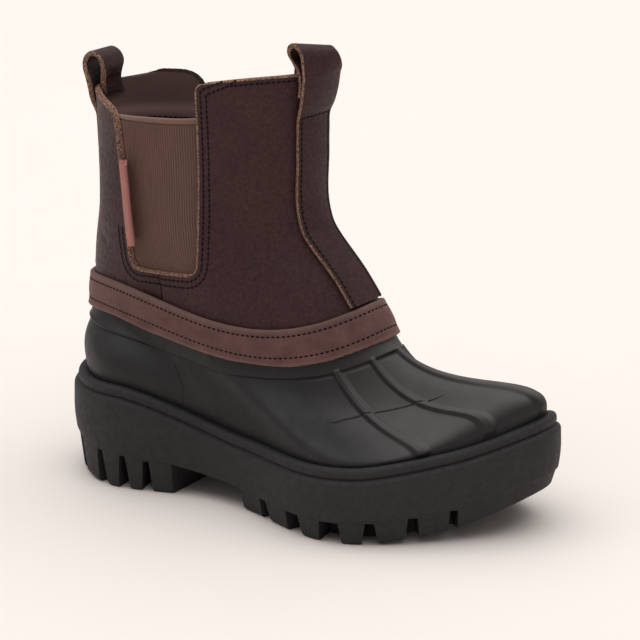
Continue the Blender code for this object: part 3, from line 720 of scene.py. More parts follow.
class Shape:
    """Points, faces, texture places and finish numbers of a piece, gathered in millimetres."""

    def __init__(self):
        self.points = []
        self.faces = []
        self.places = []
        self.finishes = []
        self.count = 0

    def add(self, points, faces, places, finish):
        """Faces of four points each, with a texture place for each corner."""
        self.points.append(points)
        self.faces.append(faces + self.count)
        self.places.append(places)
        self.finishes.append(np.full(len(faces), finish))
        self.count += len(points)

    def grid(self, points, places=None, finish=0, closed=False):
        """A surface over rows of points. A closed one joins the last point of each row to its first."""
        rows, columns = points.shape[:2]
        index = np.arange(rows * columns).reshape(rows, columns)
        if closed:
            index = np.concatenate([index, index[:, :1]], 1)
        if places is None:
            places = np.zeros((*index.shape, 2))
        corners = (slice(None, -1), slice(None, -1)), (slice(None, -1), slice(1, None))
        corners += (slice(1, None), slice(1, None)), (slice(1, None), slice(None, -1))
        faces = np.stack([index[c] for c in corners], -1).reshape(-1, 4)
        spots = np.stack([places[c] for c in corners], -2).reshape(-1, 4, 2)
        self.add(points.reshape(-1, 3), faces, spots, finish)

    def slab(self, outer, inner, places=None):
        """A closed panel between two grids."""
        self.grid(outer, places)
        self.grid(inner[::-1], places)
        for edge in (0, -1):
            self.grid(np.stack([outer[edge], inner[edge]]))
            self.grid(np.stack([outer[:, edge], inner[:, edge]]))

    def across(self, ring, columns):
        """A cap over a closed ring, barred straight across the boot."""
        half = len(ring) // 2
        one, other = ring[: half + 1], np.concatenate([ring[:1], ring[:half - 1:-1]])
        share = np.linspace(0, 1, columns)[None, :, None]
        self.grid(one[:, None] * (1 - share) + other[:, None] * share)

    def solid(self, rings, columns):
        """Closed rings one above another, with a cap over both ends."""
        self.grid(rings, closed=True)
        self.across(rings[0], columns)
        self.across(rings[-1], columns)

    def ends(self, rings, finish=0):
        """Caps over both ends of a thin closed strip, given by rings along it."""
        for end in (rings[0], rings[-1]):
            half = len(end) // 2
            self.grid(np.stack([end[:half], end[: half - 1 : -1]]), finish=finish)


def make_mesh(name, shape):
    """A mesh in metres about the origin from a shape, welded and facing outwards."""
    mesh = bpy.data.meshes.new(name)
    points = (np.concatenate(shape.points) - ORIGIN) * MM
    faces = np.concatenate(shape.faces)
    mesh.vertices.add(len(points))
    mesh.vertices.foreach_set("co", points.ravel())
    mesh.loops.add(faces.size)
    mesh.loops.foreach_set("vertex_index", faces.ravel().astype(np.int32))
    mesh.polygons.add(len(faces))
    mesh.polygons.foreach_set("loop_start", np.arange(len(faces), dtype=np.int32) * 4)
    mesh.polygons.foreach_set("material_index", np.concatenate(shape.finishes).astype(np.int32))
    mesh.uv_layers.new(name="UVMap").data.foreach_set("uv", np.concatenate(shape.places).ravel())
    mesh.update(calc_edges=True)
    welded = bmesh.new()
    welded.from_mesh(mesh)
    bmesh.ops.remove_doubles(welded, verts=welded.verts, dist=WELD)
    bmesh.ops.dissolve_degenerate(welded, edges=welded.edges, dist=WELD)
    bmesh.ops.recalc_face_normals(welded, faces=welded.faces)
    welded.to_mesh(mesh)
    welded.free()
    return mesh


def shade(mesh, sharp):
    """Smooth shading, with edges sharp where faces meet at more than an angle in degrees."""
    mesh.shade_smooth()
    mesh.set_sharp_from_angle(angle=math.radians(sharp))


def add_object(name, data):
    """An object in the scene that shows some data."""
    thing = bpy.data.objects.new(name, data)
    bpy.context.scene.collection.objects.link(thing)
    return thing


def add_piece(name, shape, finishes, nodes=(), sharp=50.0):
    """Make a piece that rides on the boot, with its finishes, and hide the solids that it stands for."""
    mesh = make_mesh(name, shape)
    for finish in finishes:
        mesh.materials.append(finish)
    shade(mesh, sharp)
    piece = add_object(name, mesh)
    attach(piece, "root")
    if nodes:
        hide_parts(*nodes)
    return piece


def prism(bottom, top, finish):
    """A closed cutter between two outlines of equal length."""
    shape = bmesh.new()
    low = [shape.verts.new((np.array(point) - ORIGIN) * MM) for point in bottom]
    high = [shape.verts.new((np.array(point) - ORIGIN) * MM) for point in top]
    for i in range(len(low)):
        j = (i + 1) % len(low)
        shape.faces.new((low[i], low[j], high[j], high[i]))
    shape.faces.new(low[::-1])
    shape.faces.new(high)
    bmesh.ops.recalc_face_normals(shape, faces=shape.faces)
    for face in shape.faces:
        face.material_index = finish
    mesh = bpy.data.meshes.new("cutter")
    shape.to_mesh(mesh)
    shape.free()
    return mesh


def cut(piece, cutters, sharp):
    """Cut shapes out of a piece for good."""
    tools = bpy.data.collections.new("cutters")
    bpy.context.scene.collection.children.link(tools)
    for mesh in cutters:
        tools.objects.link(bpy.data.objects.new("cutter", mesh))
    boolean = piece.modifiers.new("cut", "BOOLEAN")
    boolean.operation = "DIFFERENCE"
    boolean.solver = "EXACT"
    boolean.operand_type = "COLLECTION"
    boolean.collection = tools
    graph = bpy.context.evaluated_depsgraph_get()
    mesh = bpy.data.meshes.new_from_object(piece.evaluated_get(graph))
    piece.modifiers.clear()
    piece.data = mesh
    shade(mesh, sharp)
    for tool in list(tools.objects):
        bpy.data.objects.remove(tool)
    bpy.data.collections.remove(tools)


class Finish:
    """A material whose nodes are joined by short calls. Sizes of its textures are in millimetres."""

    def __init__(self, name, **sockets):
        self.material = bpy.data.materials.new(name)
        self.material.use_nodes = True
        self.tree = self.material.node_tree
        self.shader = self.tree.nodes["Principled BSDF"]
        self.where = self.tree.nodes.new("ShaderNodeTexCoord")
        self.normal = None
        for key, value in sockets.items():
            self.put(self.shader.inputs[key.replace("_", " ")], value)

    def put(self, socket, value):
        """Link a socket to another one, or set its number or colour."""
        if isinstance(value, bpy.types.NodeSocket):
            self.tree.links.new(value, socket)
        elif socket.type == "RGBA":
            socket.default_value = (*value, 1.0)
        else:
            socket.default_value = value

    def node(self, kind, inputs, **settings):
        """A node with its settings, and its inputs linked or set."""
        node = self.tree.nodes.new("ShaderNode" + kind)
        for key, value in settings.items():
            setattr(node, key, value)
        for key, value in inputs.items():
            self.put(node.inputs[key], value)
        return node

    def noise(self, size, detail=3.0, roughness=0.5):
        """Soft random values over features of a size."""
        inputs = {"Vector": self.where.outputs["Object"], "Scale": 1 / (size * MM)}
        inputs.update({"Detail": detail, "Roughness": roughness})
        return self.node("TexNoise", inputs).outputs["Fac"]

    def cells(self, size):
        """The soft distance from the middles of random cells of a size."""
        inputs = {"Vector": self.where.outputs["Object"], "Scale": 1 / (size * MM)}
        return self.node("TexVoronoi", inputs, feature="SMOOTH_F1").outputs["Distance"]

    def spread(self, value, low, high, to_low=0.0, to_high=1.0):
        """A value's run from low to high mapped on to another run, and held there."""
        inputs = {"Value": value, "From Min": low, "From Max": high, "To Min": to_low, "To Max": to_high}
        return self.node("MapRange", inputs).outputs["Result"]

    def mix(self, share, dark, light):
        """A colour between two, each of them a socket or a colour."""
        return self.node("Mix", {"Factor": share, 6: dark, 7: light}, data_type="RGBA").outputs[2]

    def math(self, operation, one, other=0.0):
        """A calculation on one or two numbers."""
        return self.node("Math", {0: one, 1: other}, operation=operation).outputs["Value"]

    def axis(self, vector, name):
        """One of a vector's three numbers."""
        return self.node("SeparateXYZ", {"Vector": vector}).outputs[name]

    def colour(self, socket):
        self.put(self.shader.inputs["Base Color"], socket)

    def roughness(self, size, low, high):
        """Roughness between two values, over features of a size."""
        self.put(self.shader.inputs["Roughness"], self.spread(self.noise(size), 0.3, 0.7, low, high))

    def bump(self, height, depth):
        """Raise the surface by a height from 0 to 1 times a depth, over the bumps set before."""
        inputs = {"Height": height, "Distance": depth * MM, "Strength": 1.0}
        if self.normal:
            inputs["Normal"] = self.normal
        self.normal = self.node("Bump", inputs).outputs["Normal"]
        self.put(self.shader.inputs["Normal"], self.normal)


def plain_finish(name):
    """A finish mottled between two colours, with a bump and a roughness."""
    mottle, dark, light, roughness, bump, sockets = PLAIN_FINISHES[name]
    finish = Finish(name, **sockets)
    finish.colour(finish.mix(finish.noise(*mottle), dark, light))
    if roughness:
        finish.roughness(*roughness)
    if bump:
        *grain, depth = bump
        finish.bump(finish.noise(*grain), depth)
    return finish.material


def shell_rubber():
    """Black rubber, painted paler where the vamp faces up: a painted highlight standing in for the overhead
    light's sheen.
    """
    finish = Finish("shell rubber", Specular_IOR_Level=0.3)
    upward = finish.axis(finish.node("NewGeometry", {}).outputs["Normal"], "Z")
    turn = finish.axis(finish.where.outputs["UV"], "X")
    from_toe = finish.math("ABSOLUTE", finish.math("SUBTRACT", turn, 0.5))
    tone = finish.mix(finish.noise(14.0), (0.0140, 0.0128, 0.0135), (0.0195, 0.0181, 0.0188))
    # Painted highlight: a paler rubber colour on the up-facing vamp, standing in for the light's sheen there
    painted_highlight = finish.mix(finish.noise(7.0, 4.0), (0.058, 0.0525, 0.0535), (0.074, 0.068, 0.069))
    vamp = finish.math("MULTIPLY", finish.spread(from_toe, 0.150, 0.098), finish.spread(upward, 0.25, 0.70))
    finish.colour(finish.mix(vamp, tone, painted_highlight))
    finish.roughness(5.0, 0.46, 0.60)
    finish.bump(finish.noise(0.4, 2.0), 0.016)
    finish.bump(finish.noise(9.0, 1.0), 0.12)
    return finish.material


def shaft_leather():
    """Dark brown leather, patchy, with darker pores and a pebbled grain."""
    pores = (0.026, 0.0115, 0.0118)
    finish = Finish("shaft leather", Specular_IOR_Level=0.21, Specular_Tint=(1.0, 0.83, 0.79))
    patches = finish.spread(finish.noise(24.0, 4.0), 0.3, 0.7)
    tone = finish.mix(patches, (0.043, 0.0195, 0.0205), (0.068, 0.0325, 0.0340))
    grain = finish.cells(0.62)
    specks = finish.spread(finish.noise(1.5, 3.0, 0.6), 0.35, 0.65, 0.0, 0.75)
    tone = finish.mix(specks, tone, pores)
    finish.colour(finish.mix(finish.spread(grain, 0.1, 0.6, 0.0, 0.35), tone, pores))
    finish.roughness(2.0, 0.44, 0.62)
    finish.bump(finish.spread(grain, 0.6, 0.0), 0.13)
    finish.bump(finish.noise(1.3, 2.0), 0.17)
    finish.bump(finish.noise(0.3, 2.0), 0.02)
    return finish.material


def raw_leather():
    """The leather's cut edge: tan with dark specks, and painted dark on the inner side of the foot as painted
    shade, where that side faces away from the light.
    """
    finish = Finish("raw leather", Roughness=0.9, Specular_IOR_Level=0.25)
    specks = finish.spread(finish.noise(0.65, 3.0, 0.7), 0.42, 0.58)
    tone = finish.mix(finish.noise(5.0), (0.27, 0.145, 0.096), (0.42, 0.245, 0.175))
    tone = finish.mix(specks, (0.050, 0.028, 0.022), tone)
    # Painted shade: the cut edge grows dark towards the inner side of the foot, which faces away from the
    # light
    across = finish.axis(finish.where.outputs["Object"], "Y")
    painted_shade = finish.spread(across, 4.0 * MM, 13.0 * MM, 0.0, 0.8)
    finish.colour(finish.mix(painted_shade, tone, (0.030, 0.020, 0.017)))
    finish.bump(finish.noise(0.5, 3.0, 0.7), 0.18)
    return finish.material


def band_leather():
    """Reddish nubuck, paler along the band's upper edge and raw along its lower one."""
    sheen = {"Sheen_Weight": 0.25, "Sheen_Roughness": 0.5, "Sheen_Tint": (0.55, 0.36, 0.32)}
    finish = Finish("band nubuck", Specular_IOR_Level=0.25, **sheen)
    nap = finish.spread(finish.noise(7.0, 5.0, 0.6), 0.3, 0.7)
    tone = finish.mix(nap, (0.084, 0.040, 0.036), (0.134, 0.066, 0.060))
    up = finish.axis(finish.where.outputs["UV"], "Y")
    pale_top = finish.spread(up, BAND_UP - 2.2, BAND_UP - 0.5, 0.0, 0.55)
    tone = finish.mix(pale_top, tone, (0.155, 0.098, 0.082))
    raw = finish.spread(up, -BAND_DOWN + 1.6, -BAND_DOWN + 0.2, 0.0, 0.65)
    finish.colour(finish.mix(raw, tone, (0.21, 0.115, 0.098)))
    finish.roughness(1.5, 0.74, 0.90)
    finish.bump(finish.noise(0.35, 3.0, 0.7), 0.05)
    return finish.material


def gore_elastic():
    """Brown webbing with a paler hem and darker gaps between its fibres."""
    finish = Finish("gore elastic", Roughness=0.9, Specular_IOR_Level=0.2, Sheen_Weight=0.2)
    tone = finish.mix(finish.noise(8.0, 3.0), (0.110, 0.056, 0.042), (0.150, 0.078, 0.060))
    up = finish.axis(finish.where.outputs["UV"], "Y")
    hem = finish.spread(up, -HEM_DEPTH - 0.2, -HEM_DEPTH + 0.3, 0.0, 0.6)
    tone = finish.mix(hem, tone, (0.235, 0.130, 0.100))
    fibres = finish.spread(finish.noise(0.5, 2.0), 0.45, 0.7, 0.0, 0.45)
    finish.colour(finish.mix(fibres, tone, (0.075, 0.042, 0.032)))
    finish.bump(finish.noise(0.35, 2.0, 0.6), 0.08)
    return finish.material


def rounded(before, here, after, run, count):
    """Points round a corner, starting and ending at a run from it."""
    back, ahead = unit(before - here), unit(after - here)
    return [here + back * run * (1 - t) ** 2 + ahead * run * t**2 for t in np.linspace(0, 1, count)]


def trough(distance, half_width):
    """A soft trough's depth, 1 at its middle and 0 beyond its half-width."""
    return ramp(half_width - np.abs(distance), 0.0, half_width)


def wobble(at, size, seed):
    """A smooth uneven value between about -1 and 1 along a line, over features of a size."""
    total = np.zeros_like(at)
    for k, (pace, share) in enumerate(((1.0, 0.5), (1.63, 0.3), (2.71, 0.2))):
        total += share * np.sin(2 * math.pi * at * pace / size + seed * (k + 1.7))
    return total


def fine_turns(count, zones):
    """Turns round the boot, closer together in zones given by start, end and number of turns."""
    turns = np.arange(count) / count
    for start, end, number in zones:
        turns = turns[(turns < start - 0.001) | (turns > end + 0.001)]
        turns = np.concatenate([turns, np.linspace(start, end, number)])
    return np.sort(turns)


def rounded_profile(turns):
    """The sole's side at each turn with its corners rounded off, as rings of points."""
    place, inward = outline(turns)
    corners = []
    for _, inset, name, rise, _ in SOLE_PROFILE:
        corners.append(np.stack([np.full(len(turns), inset), level(place[:, 0], name) + rise], -1))
    rows = [corners[0]]
    for i in range(1, len(corners) - 1):
        rows += rounded(*corners[i - 1 : i + 2], SOLE_PROFILE[i][4], 5)
    rows.append(corners[-1])
    return np.stack([np.concatenate([place + inward * row[:, :1], row[:, 1:]], -1) for row in rows])


def tread_gap(turn, head_width, foot_width):
    """A gap between two side lugs: narrow at their heads, wider at the floor, lower towards the middle."""
    place, inward = outline(turn)
    along = np.array([inward[1], -inward[0]])
    floor, head = level(place[0], "ground"), level(place[0], "lug")
    deep = floor + GAP_SLOPE * (head - floor)
    plan = ((-GAP_REACH, -0.5), (GAP_DEPTH, -0.5), (GAP_DEPTH, 0.5), (-GAP_REACH, 0.5))
    heads = (head + GAP_LIFT, deep, deep, head + GAP_LIFT)

    def corner(inset, side, z):
        return (*(place + inward * inset + along * side), z)

    bottom = [corner(inset, side * foot_width, floor - CUT_BELOW) for inset, side in plan]
    top = [corner(inset, side * head_width, z) for (inset, side), z in zip(plan, heads)]
    return prism(bottom, top, 0)


def tread_channel(start, end):
    """A shallow straight channel along the tread between two places."""
    start, end = np.array(start), np.array(end)
    across = unit(np.array([start[1] - end[1], end[0] - start[0]])) * CHANNEL_WIDTH / 2
    plan = [start - across, end - across, end + across, start + across]
    bottom = [(*place, -CUT_BELOW) for place in plan]
    top = [(*place, level(place[0], "ground") + CHANNEL_DEPTH) for place in plan]
    return prism(bottom, top, 0)


def arch_gap():
    """The gap under the arch, right across the sole."""
    side = [(ARCH_BACK - ARCH_DRAFT, -CUT_BELOW)]
    side += [(x, level(x, "lug") + GAP_LIFT) for x in np.linspace(ARCH_BACK, ARCH_FRONT, ARCH_STEPS)]
    side += [(ARCH_FRONT + ARCH_DRAFT, -CUT_BELOW)]
    return prism([(x, -CUT_REACH, z) for x, z in side], [(x, CUT_REACH, z) for x, z in side], 0)


def make_sole(rubber):
    shape = Shape()
    shape.solid(rounded_profile(fine_turns(SOLE_TURNS, ())), 8)
    sole = add_piece("sole", shape, [rubber], ["outsole"])
    gaps = [tread_gap(turn, head, foot) for _, turn, head, foot in TREAD_GAPS]
    gaps += [tread_gap(1 - turn, head, foot) for _, turn, head, foot in TREAD_GAPS]
    channels = [tread_channel((x0, y0), (x1, y1)) for _, x0, y0, x1, y1 in TREAD_CHANNELS]
    cut(sole, gaps + channels + [arch_gap()], 30.0)


def make_insole(felt):
    turns = fine_turns(INSOLE_TURNS, ())
    inset = RIM_INSET + 2 * FIT_GAP + RUBBER_WALL + INSOLE_SLACK
    floor = 2 * FIT_GAP - CUP_DEPTH
    sides = [(0.0, 0.0)] + [(slack, INSOLE_THICKNESS - drop) for slack, drop in INSOLE_EDGE]
    shape = Shape()
    rings = [sole_point(turns, inset + slack, "rim", floor + rise) for slack, rise in sides]
    shape.solid(np.stack(rings), 12)
    add_piece("insole_pad", shape, [felt], ["insole"])


def ridge_height(turns, v):
    """How far the ridges stand from the shell, fading out above the rim."""
    height = np.zeros_like(v)
    for _, middle, foot, crown in RIDGES:
        reach = foot * RIDGE_FOOT
        beside = ramp(reach - np.abs(turns - middle), 0.0, reach - crown * RIDGE_CROWN)
        height = np.maximum(height, RIDGE_RISE * beside)
    return height * ramp(v, 0.0, RIDGE_FADE)


def shell_rows(turns, strip):
    """Steps of the shell's rows from the rim to the strip, and their distances from the toe cap's line."""
    side = np.minimum(turns, 1 - turns)
    line = smooth(side, [row[1] for row in TOE_CAP_LINE], [row[2] for row in TOE_CAP_LINE], True)
    rate = rise_rate(turns, line - 0.01, line + 0.01)
    low, high = line + CAP_BESIDE[0] / rate, line + CAP_BESIDE[-1] / rate
    rows = [low * share for share in np.linspace(0, 1, SHELL_ROWS, endpoint=False)]
    rows += [line + distance / rate for distance in CAP_BESIDE]
    shares = np.concatenate([np.linspace(0, 0.9, SHELL_ROWS // 2)[1:], np.linspace(0.92, 1, 7)])
    rows += [high + (strip - high) * share for share in shares]
    steps = np.stack(rows)
    return steps, (steps - line) * rate


def shell_relief(turns, steps, from_line, strip):
    """How far the shell stands out below the strip, for its ridges, lines and undercut."""
    side = np.minimum(turns, 1 - turns)
    start = TOE_CAP_LINE[0][1]
    shown = ramp(side, start, start + CAP_FADE) * (1 - ramp(side, CAP_STOP, CAP_STOP + CAP_FADE))
    cap = CAP_DEPTH * shown * trough(from_line, CAP_HALF_WIDTH)
    foot, head = MOULD_TURNS
    mould_turn = foot + (head - foot) * steps / MOULD_HEAD
    mould = MOULD_DEPTH * trough((side - mould_turn) * turn_rate(turns, 0.3, 0.002), MOULD_HALF_WIDTH)
    mould = mould * (1 - ramp(steps, MOULD_HEAD - 0.04, MOULD_HEAD + 0.02))
    below = (strip - steps) * rise_rate(turns, strip - 0.01, strip)
    under = UNDERCUT * ramp(side, *UNDERCUT_TURNS) * trough(below, UNDERCUT_WIDTH)
    ridges = ridge_height(np.broadcast_to(turns, steps.shape), steps)
    return ridges - SHELL_RECESS - cap - mould - under * (1 - ridges / RIDGE_RISE)


def strip_rings(turns, strip):
    """Rings of the strip's lower edge and face, up to the joint."""
    lip = LIP_RISE * (1 - ramp(np.minimum(turns, 1 - turns), *LIP_TURNS))
    ridges = ridge_height(turns, strip) - SHELL_RECESS
    rows = [(STRIP_FOOT - rise, out) for rise, out in STRIP_EDGE]
    rings = []
    for down, out in [*rows, (FIT_GAP / 2, 0.0)]:
        stand = np.maximum(out, ridges) if out < 0 else out
        stand = stand + lip * trough(down - STRIP_FOOT + LIP_UP, LIP_WIDTH)
        rings.append(upper_offset(turns, climb(turns, -down), stand))
    return rings


def make_shell(rubber):
    zones = [(middle - 1.6 * foot, middle + 1.6 * foot, 23) for _, middle, foot, _ in RIDGES]
    low, high = MOULD_TURNS[0] - 0.003, MOULD_TURNS[1] + 0.003
    zones += [(low, high, 34), (1 - high, 1 - low, 34)]
    turns = fine_turns(SHELL_TURNS, zones)
    strip = climb(turns, -STRIP_FOOT)
    steps, from_line = shell_rows(turns, strip)
    relief = shell_relief(turns, steps, from_line, strip)
    skirt, foot = RIM_INSET + FIT_GAP, FIT_GAP - CUP_DEPTH
    rings = [sole_point(turns, skirt, "rim", foot)]
    rings += [upper_offset(turns, row, out) for row, out in zip(steps, relief)]
    rings += strip_rings(turns, strip)
    top, wall = climb(turns, -FIT_GAP / 2), -SHELL_RECESS - RUBBER_WALL
    rings += [upper_offset(turns, top * share, wall) for share in np.linspace(1, 0, 9)]
    rings += [sole_point(turns, skirt + RUBBER_WALL, "rim", foot), rings[0]]
    places = np.broadcast_arrays(np.append(turns, 1.0)[None, :], np.arange(len(rings))[:, None])
    shape = Shape()
    shape.grid(np.stack(rings), np.stack(places, -1), closed=True)
    add_piece("shell", shape, [rubber], ["rubber_shell"])


def beside_path(path):
    """The unit vectors to the right of a flat path, at each of its points."""
    along = unit(np.gradient(path, axis=0))
    return np.stack([along[:, 1], -along[:, 0]], -1)


def notch_line(rows, beyond):
    """A gore notch seen from the side, its corners rounded off, at a distance beyond its edge."""
    corners = [np.array([x, z]) for _, x, z, _ in rows]
    points = []
    for i, (_, _, _, radius) in enumerate(rows):
        here = corners[i]
        if not radius:
            points.append(here)
            continue
        before, after = corners[i - 1], corners[i + 1]
        half_angle = math.acos(unit(before - here) @ unit(after - here)) / 2
        points += rounded(before, here, after, radius / math.tan(half_angle), NOTCH_ARC)
    points = np.array(points)
    if not beyond:
        return points
    fine = resample(points, np.arange(0, arc_length(points)[-1], NOTCH_STEP))
    return fine + beside_path(fine) * beyond


def notch_places(rows, side, beyond):
    """Turns and steps along a gore notch, where it runs below the collar."""
    line = notch_line(rows, beyond)
    line = resample(line, np.arange(0, arc_length(line)[-1], NOTCH_STEP))
    u, v = find_upper(line[:, 0], line[:, 1], side)
    here = upper_point(u, v)
    met = np.hypot(here[:, 0] - line[:, 0], here[:, 2] - line[:, 1]) < 0.05
    return u[met], v[met]


def shaft_out(u, v):
    """How far the shaft's surface stands out, for the lapped seams below the gores and the creases."""
    side = np.minimum(u % 1.0, 1 - u % 1.0)
    share = (v - SEAM_STEPS[0]) / (SEAM_STEPS[1] - SEAM_STEPS[0])
    behind = SEAM_TURNS[0] + (SEAM_TURNS[1] - SEAM_TURNS[0]) * share - side
    step = ramp(behind, *SEAM_EDGE) * (1 - ramp(behind, *SEAM_FADE))
    gap = trough(behind - SEAM_GAP_PLACE, SEAM_GAP_WIDTH)
    out = -(SEAM_STEP * step + SEAM_GAP * gap) * (1 - ramp(v, SEAM_TOP - 0.08, SEAM_TOP))
    for _, turn_a, step_a, turn_b, step_b, half_width, depth in SHAFT_CREASES:
        share = (side - turn_a) / (turn_b - turn_a)
        middle = step_a + (step_b - step_a) * share + CREASE_BOW * np.sin(math.pi * share)
        fade = ramp(np.minimum(share, 1 - share), 0.0, CREASE_FADE)
        out = out - depth * fade * trough((v - middle) * CREASE_RATE, half_width)
    return out


def make_shaft(leather, raw, inner):
    low, high = SEAM_ZONE
    turns = fine_turns(SHAFT_TURNS, ((low, high, 40), (1 - high, 1 - low, 40)))
    foot = climb(turns, FIT_GAP / 2)
    head = collar_step(turns, COLLAR_LIP[0][0])

    def collar_rings(section):
        return [upper_offset(turns, collar_step(turns, down), out) for down, out in section]

    rows = [foot + (head - foot) * share for share in np.linspace(0, 1, SHAFT_ROWS)]
    surface = [upper_offset(turns, v, shaft_out(turns, v)) for v in rows]
    facing = -LEATHER_WALL - FACING_THICKNESS
    inside = [(down, facing) for down in (0.5, 5.0, 10.0, FACING_DEPTH - 1.0, FACING_DEPTH - 0.3)]
    inside += [(FACING_DEPTH, facing + 0.3), (FACING_DEPTH + 0.1, -LEATHER_WALL)]
    edge = collar_step(turns, FACING_DEPTH + 0.1)
    rows = [edge + (foot - edge) * share for share in np.linspace(0, 1, 14)[1:]]
    face = collar_rings(inside) + [upper_offset(turns, v, -LEATHER_WALL) for v in rows] + surface[:1]
    shape = Shape()
    for finish, rings in enumerate((surface, collar_rings(COLLAR_LIP), face)):
        shape.grid(np.stack(rings), finish=finish, closed=True)
    shaft = add_piece("shaft", shape, [leather, raw, inner], ["leather_shaft"])
    notches = []
    for corners, side in NOTCH_SIDES:
        line = notch_line(corners, 0.0)
        near = [(x, side * NOTCH_START, z) for x, z in line]
        far = [(x, side * CUT_REACH, z) for x, z in line]
        notches.append(prism(near, far, 1))
    cut(shaft, notches, 40.0)


def make_raw_edges(raw):
    """The rough cut edge of the leather round both notches."""
    shape = Shape()
    for number, (corners, side) in enumerate(NOTCH_SIDES):
        u, v = notch_places(corners, side, 0.0)
        line = upper_point(u, v)
        normal = upper_normal(u, v)
        into = np.cross(unit(np.gradient(line, axis=0)), normal) * side
        arc = arc_length(line)
        share = 1 - RAW_FOOT * (1 - ramp(v, *RAW_FOOT_STEPS))
        share = share * ramp(np.minimum(arc, arc[-1] - arc), -0.5, RAW_TAPER)
        rings = []
        for k, (inwards, out) in enumerate(RAW_EDGE):
            inwards = inwards * share + 0.10 * wobble(arc, 2.3, number + 0.7 * k)
            out = out * np.minimum(share * 2, 1) + 0.06 * wobble(arc, 1.7, number + 2.3 * k)
            rings.append(line + into * inwards[:, None] + normal * out[:, None])
        rings = np.stack(rings, 1)
        shape.grid(rings, closed=True)
        shape.ends(rings)
    add_piece("raw_edges", shape, [raw], sharp=60.0)


def make_gore(name, node, turns, top, webbing):
    """An elastic panel behind a notch: upright ribs under a hem."""
    columns = np.linspace(*turns, GORE_COLUMNS)
    across = arc_length(upper_point(columns, 1.5))
    rate = rise_rate(columns.mean(), top - 0.02, top)
    rows = np.linspace(GORE_FOOT, top - 5.0 / rate, GORE_ROWS)
    rows = np.concatenate([rows, top - np.arange(4.8, -0.1, -0.3) / rate])
    down = (top - rows) * rate
    ribs = 1 - ramp(-down, -HEM_DEPTH - 0.8, -HEM_DEPTH)
    hem = HEM_RISE * ramp(-down, -HEM_DEPTH - 0.1, -HEM_DEPTH + 0.5)
    hem -= HEM_GROOVE * trough(down - HEM_DEPTH - 0.3, 0.6)
    hem -= HEM_ROUND * ramp(-down, -HEM_ROUND, 0.0)
    out = -LEATHER_WALL - FIT_GAP + hem[:, None]
    out = out + RIB_HEIGHT * ribs[:, None] * np.cos(2 * math.pi * across / RIB_PITCH)[None, :]
    tilt = np.interp(np.minimum(columns, 1 - columns), GORE_TILT_TURNS, GORE_TILT)
    steps = rows[:, None] + tilt[None, :] * ramp(rows, 1.5, top)[:, None]
    outer = upper_offset(columns[None, :], steps, out)
    inner = upper_offset(columns[None, :], steps, -LEATHER_WALL - FIT_GAP - GORE_WALL)
    shape = Shape()
    shape.slab(outer, inner, np.stack(np.broadcast_arrays(across[None, :], -down[:, None]), -1))
    add_piece(name, shape, [webbing], [node])


def band_section():
    """The band's section from its foot over its face to its back: height and distance out."""
    face = np.linspace(-BAND_DOWN + 0.9, BAND_UP - 0.9, 46)
    low, high = BAND_ROWS
    outer = FIT_GAP + BAND_THICKNESS
    between = (face > low) * (face < high)
    puff = BAND_PUFF * np.maximum(np.sin(math.pi * (face - low) / (high - low)), 0) ** 0.7 * between
    groove = BAND_GROOVE * sum(trough(face - row, BAND_GROOVE_WIDTH) for row in BAND_ROWS)
    foot = [(-BAND_DOWN, FIT_GAP)] + [(rise - BAND_DOWN, outer - drop) for rise, drop in BAND_FOOT_EDGE]
    head = [(BAND_UP - down, outer - drop) for down, drop in BAND_HEAD_EDGE] + [(BAND_UP, FIT_GAP)]
    back = ((BAND_UP / 2, FIT_GAP), (0.0, FIT_GAP), (-BAND_DOWN, FIT_GAP))
    return [*foot, *zip(face, outer + puff - groove), *head, *back]


def band_out(up):
    """The distance out of the band's face at a height."""
    section = [row for row in band_section() if row[1] > FIT_GAP + BAND_THICKNESS / 2]
    return np.interp(up, [row[0] for row in section], [row[1] for row in section])


def make_band(nubuck):
    turns = fine_turns(BAND_TURNS, ())
    around = arc_length(upper_point(np.append(turns, 1.0), 1.0))
    wave = BAND_WAVE * wobble(around[:-1], around[-1] / BAND_WAVES, 1.0)
    wave += BAND_RIPPLE * wobble(around[:-1], around[-1] / BAND_RIPPLES, 2.0)
    wave /= rise_rate(turns, 1 - STEP_NUDGE, 1 + STEP_NUDGE)
    rings = []
    places = []
    for up, out in band_section():
        loose = wave * (1 - ramp(up, -BAND_DOWN, -BAND_DOWN + 2.0))
        rings.append(upper_offset(turns, climb(turns, up) + loose, out))
        places.append(np.stack([around, np.full_like(around, up)], -1))
    shape = Shape()
    shape.grid(np.stack(rings), np.stack(places), closed=True)
    add_piece("nubuck_band", shape, [nubuck], ["band"])


def strap_spine(middle):
    """Steps from the joint to the collar along the middle of a strap, and each one's depth."""
    steps = np.linspace(1.0, 2.0, 80)
    spine = upper_point(middle, steps)
    arc = arc_length(spine)
    return steps, spine, arc[-1] - arc


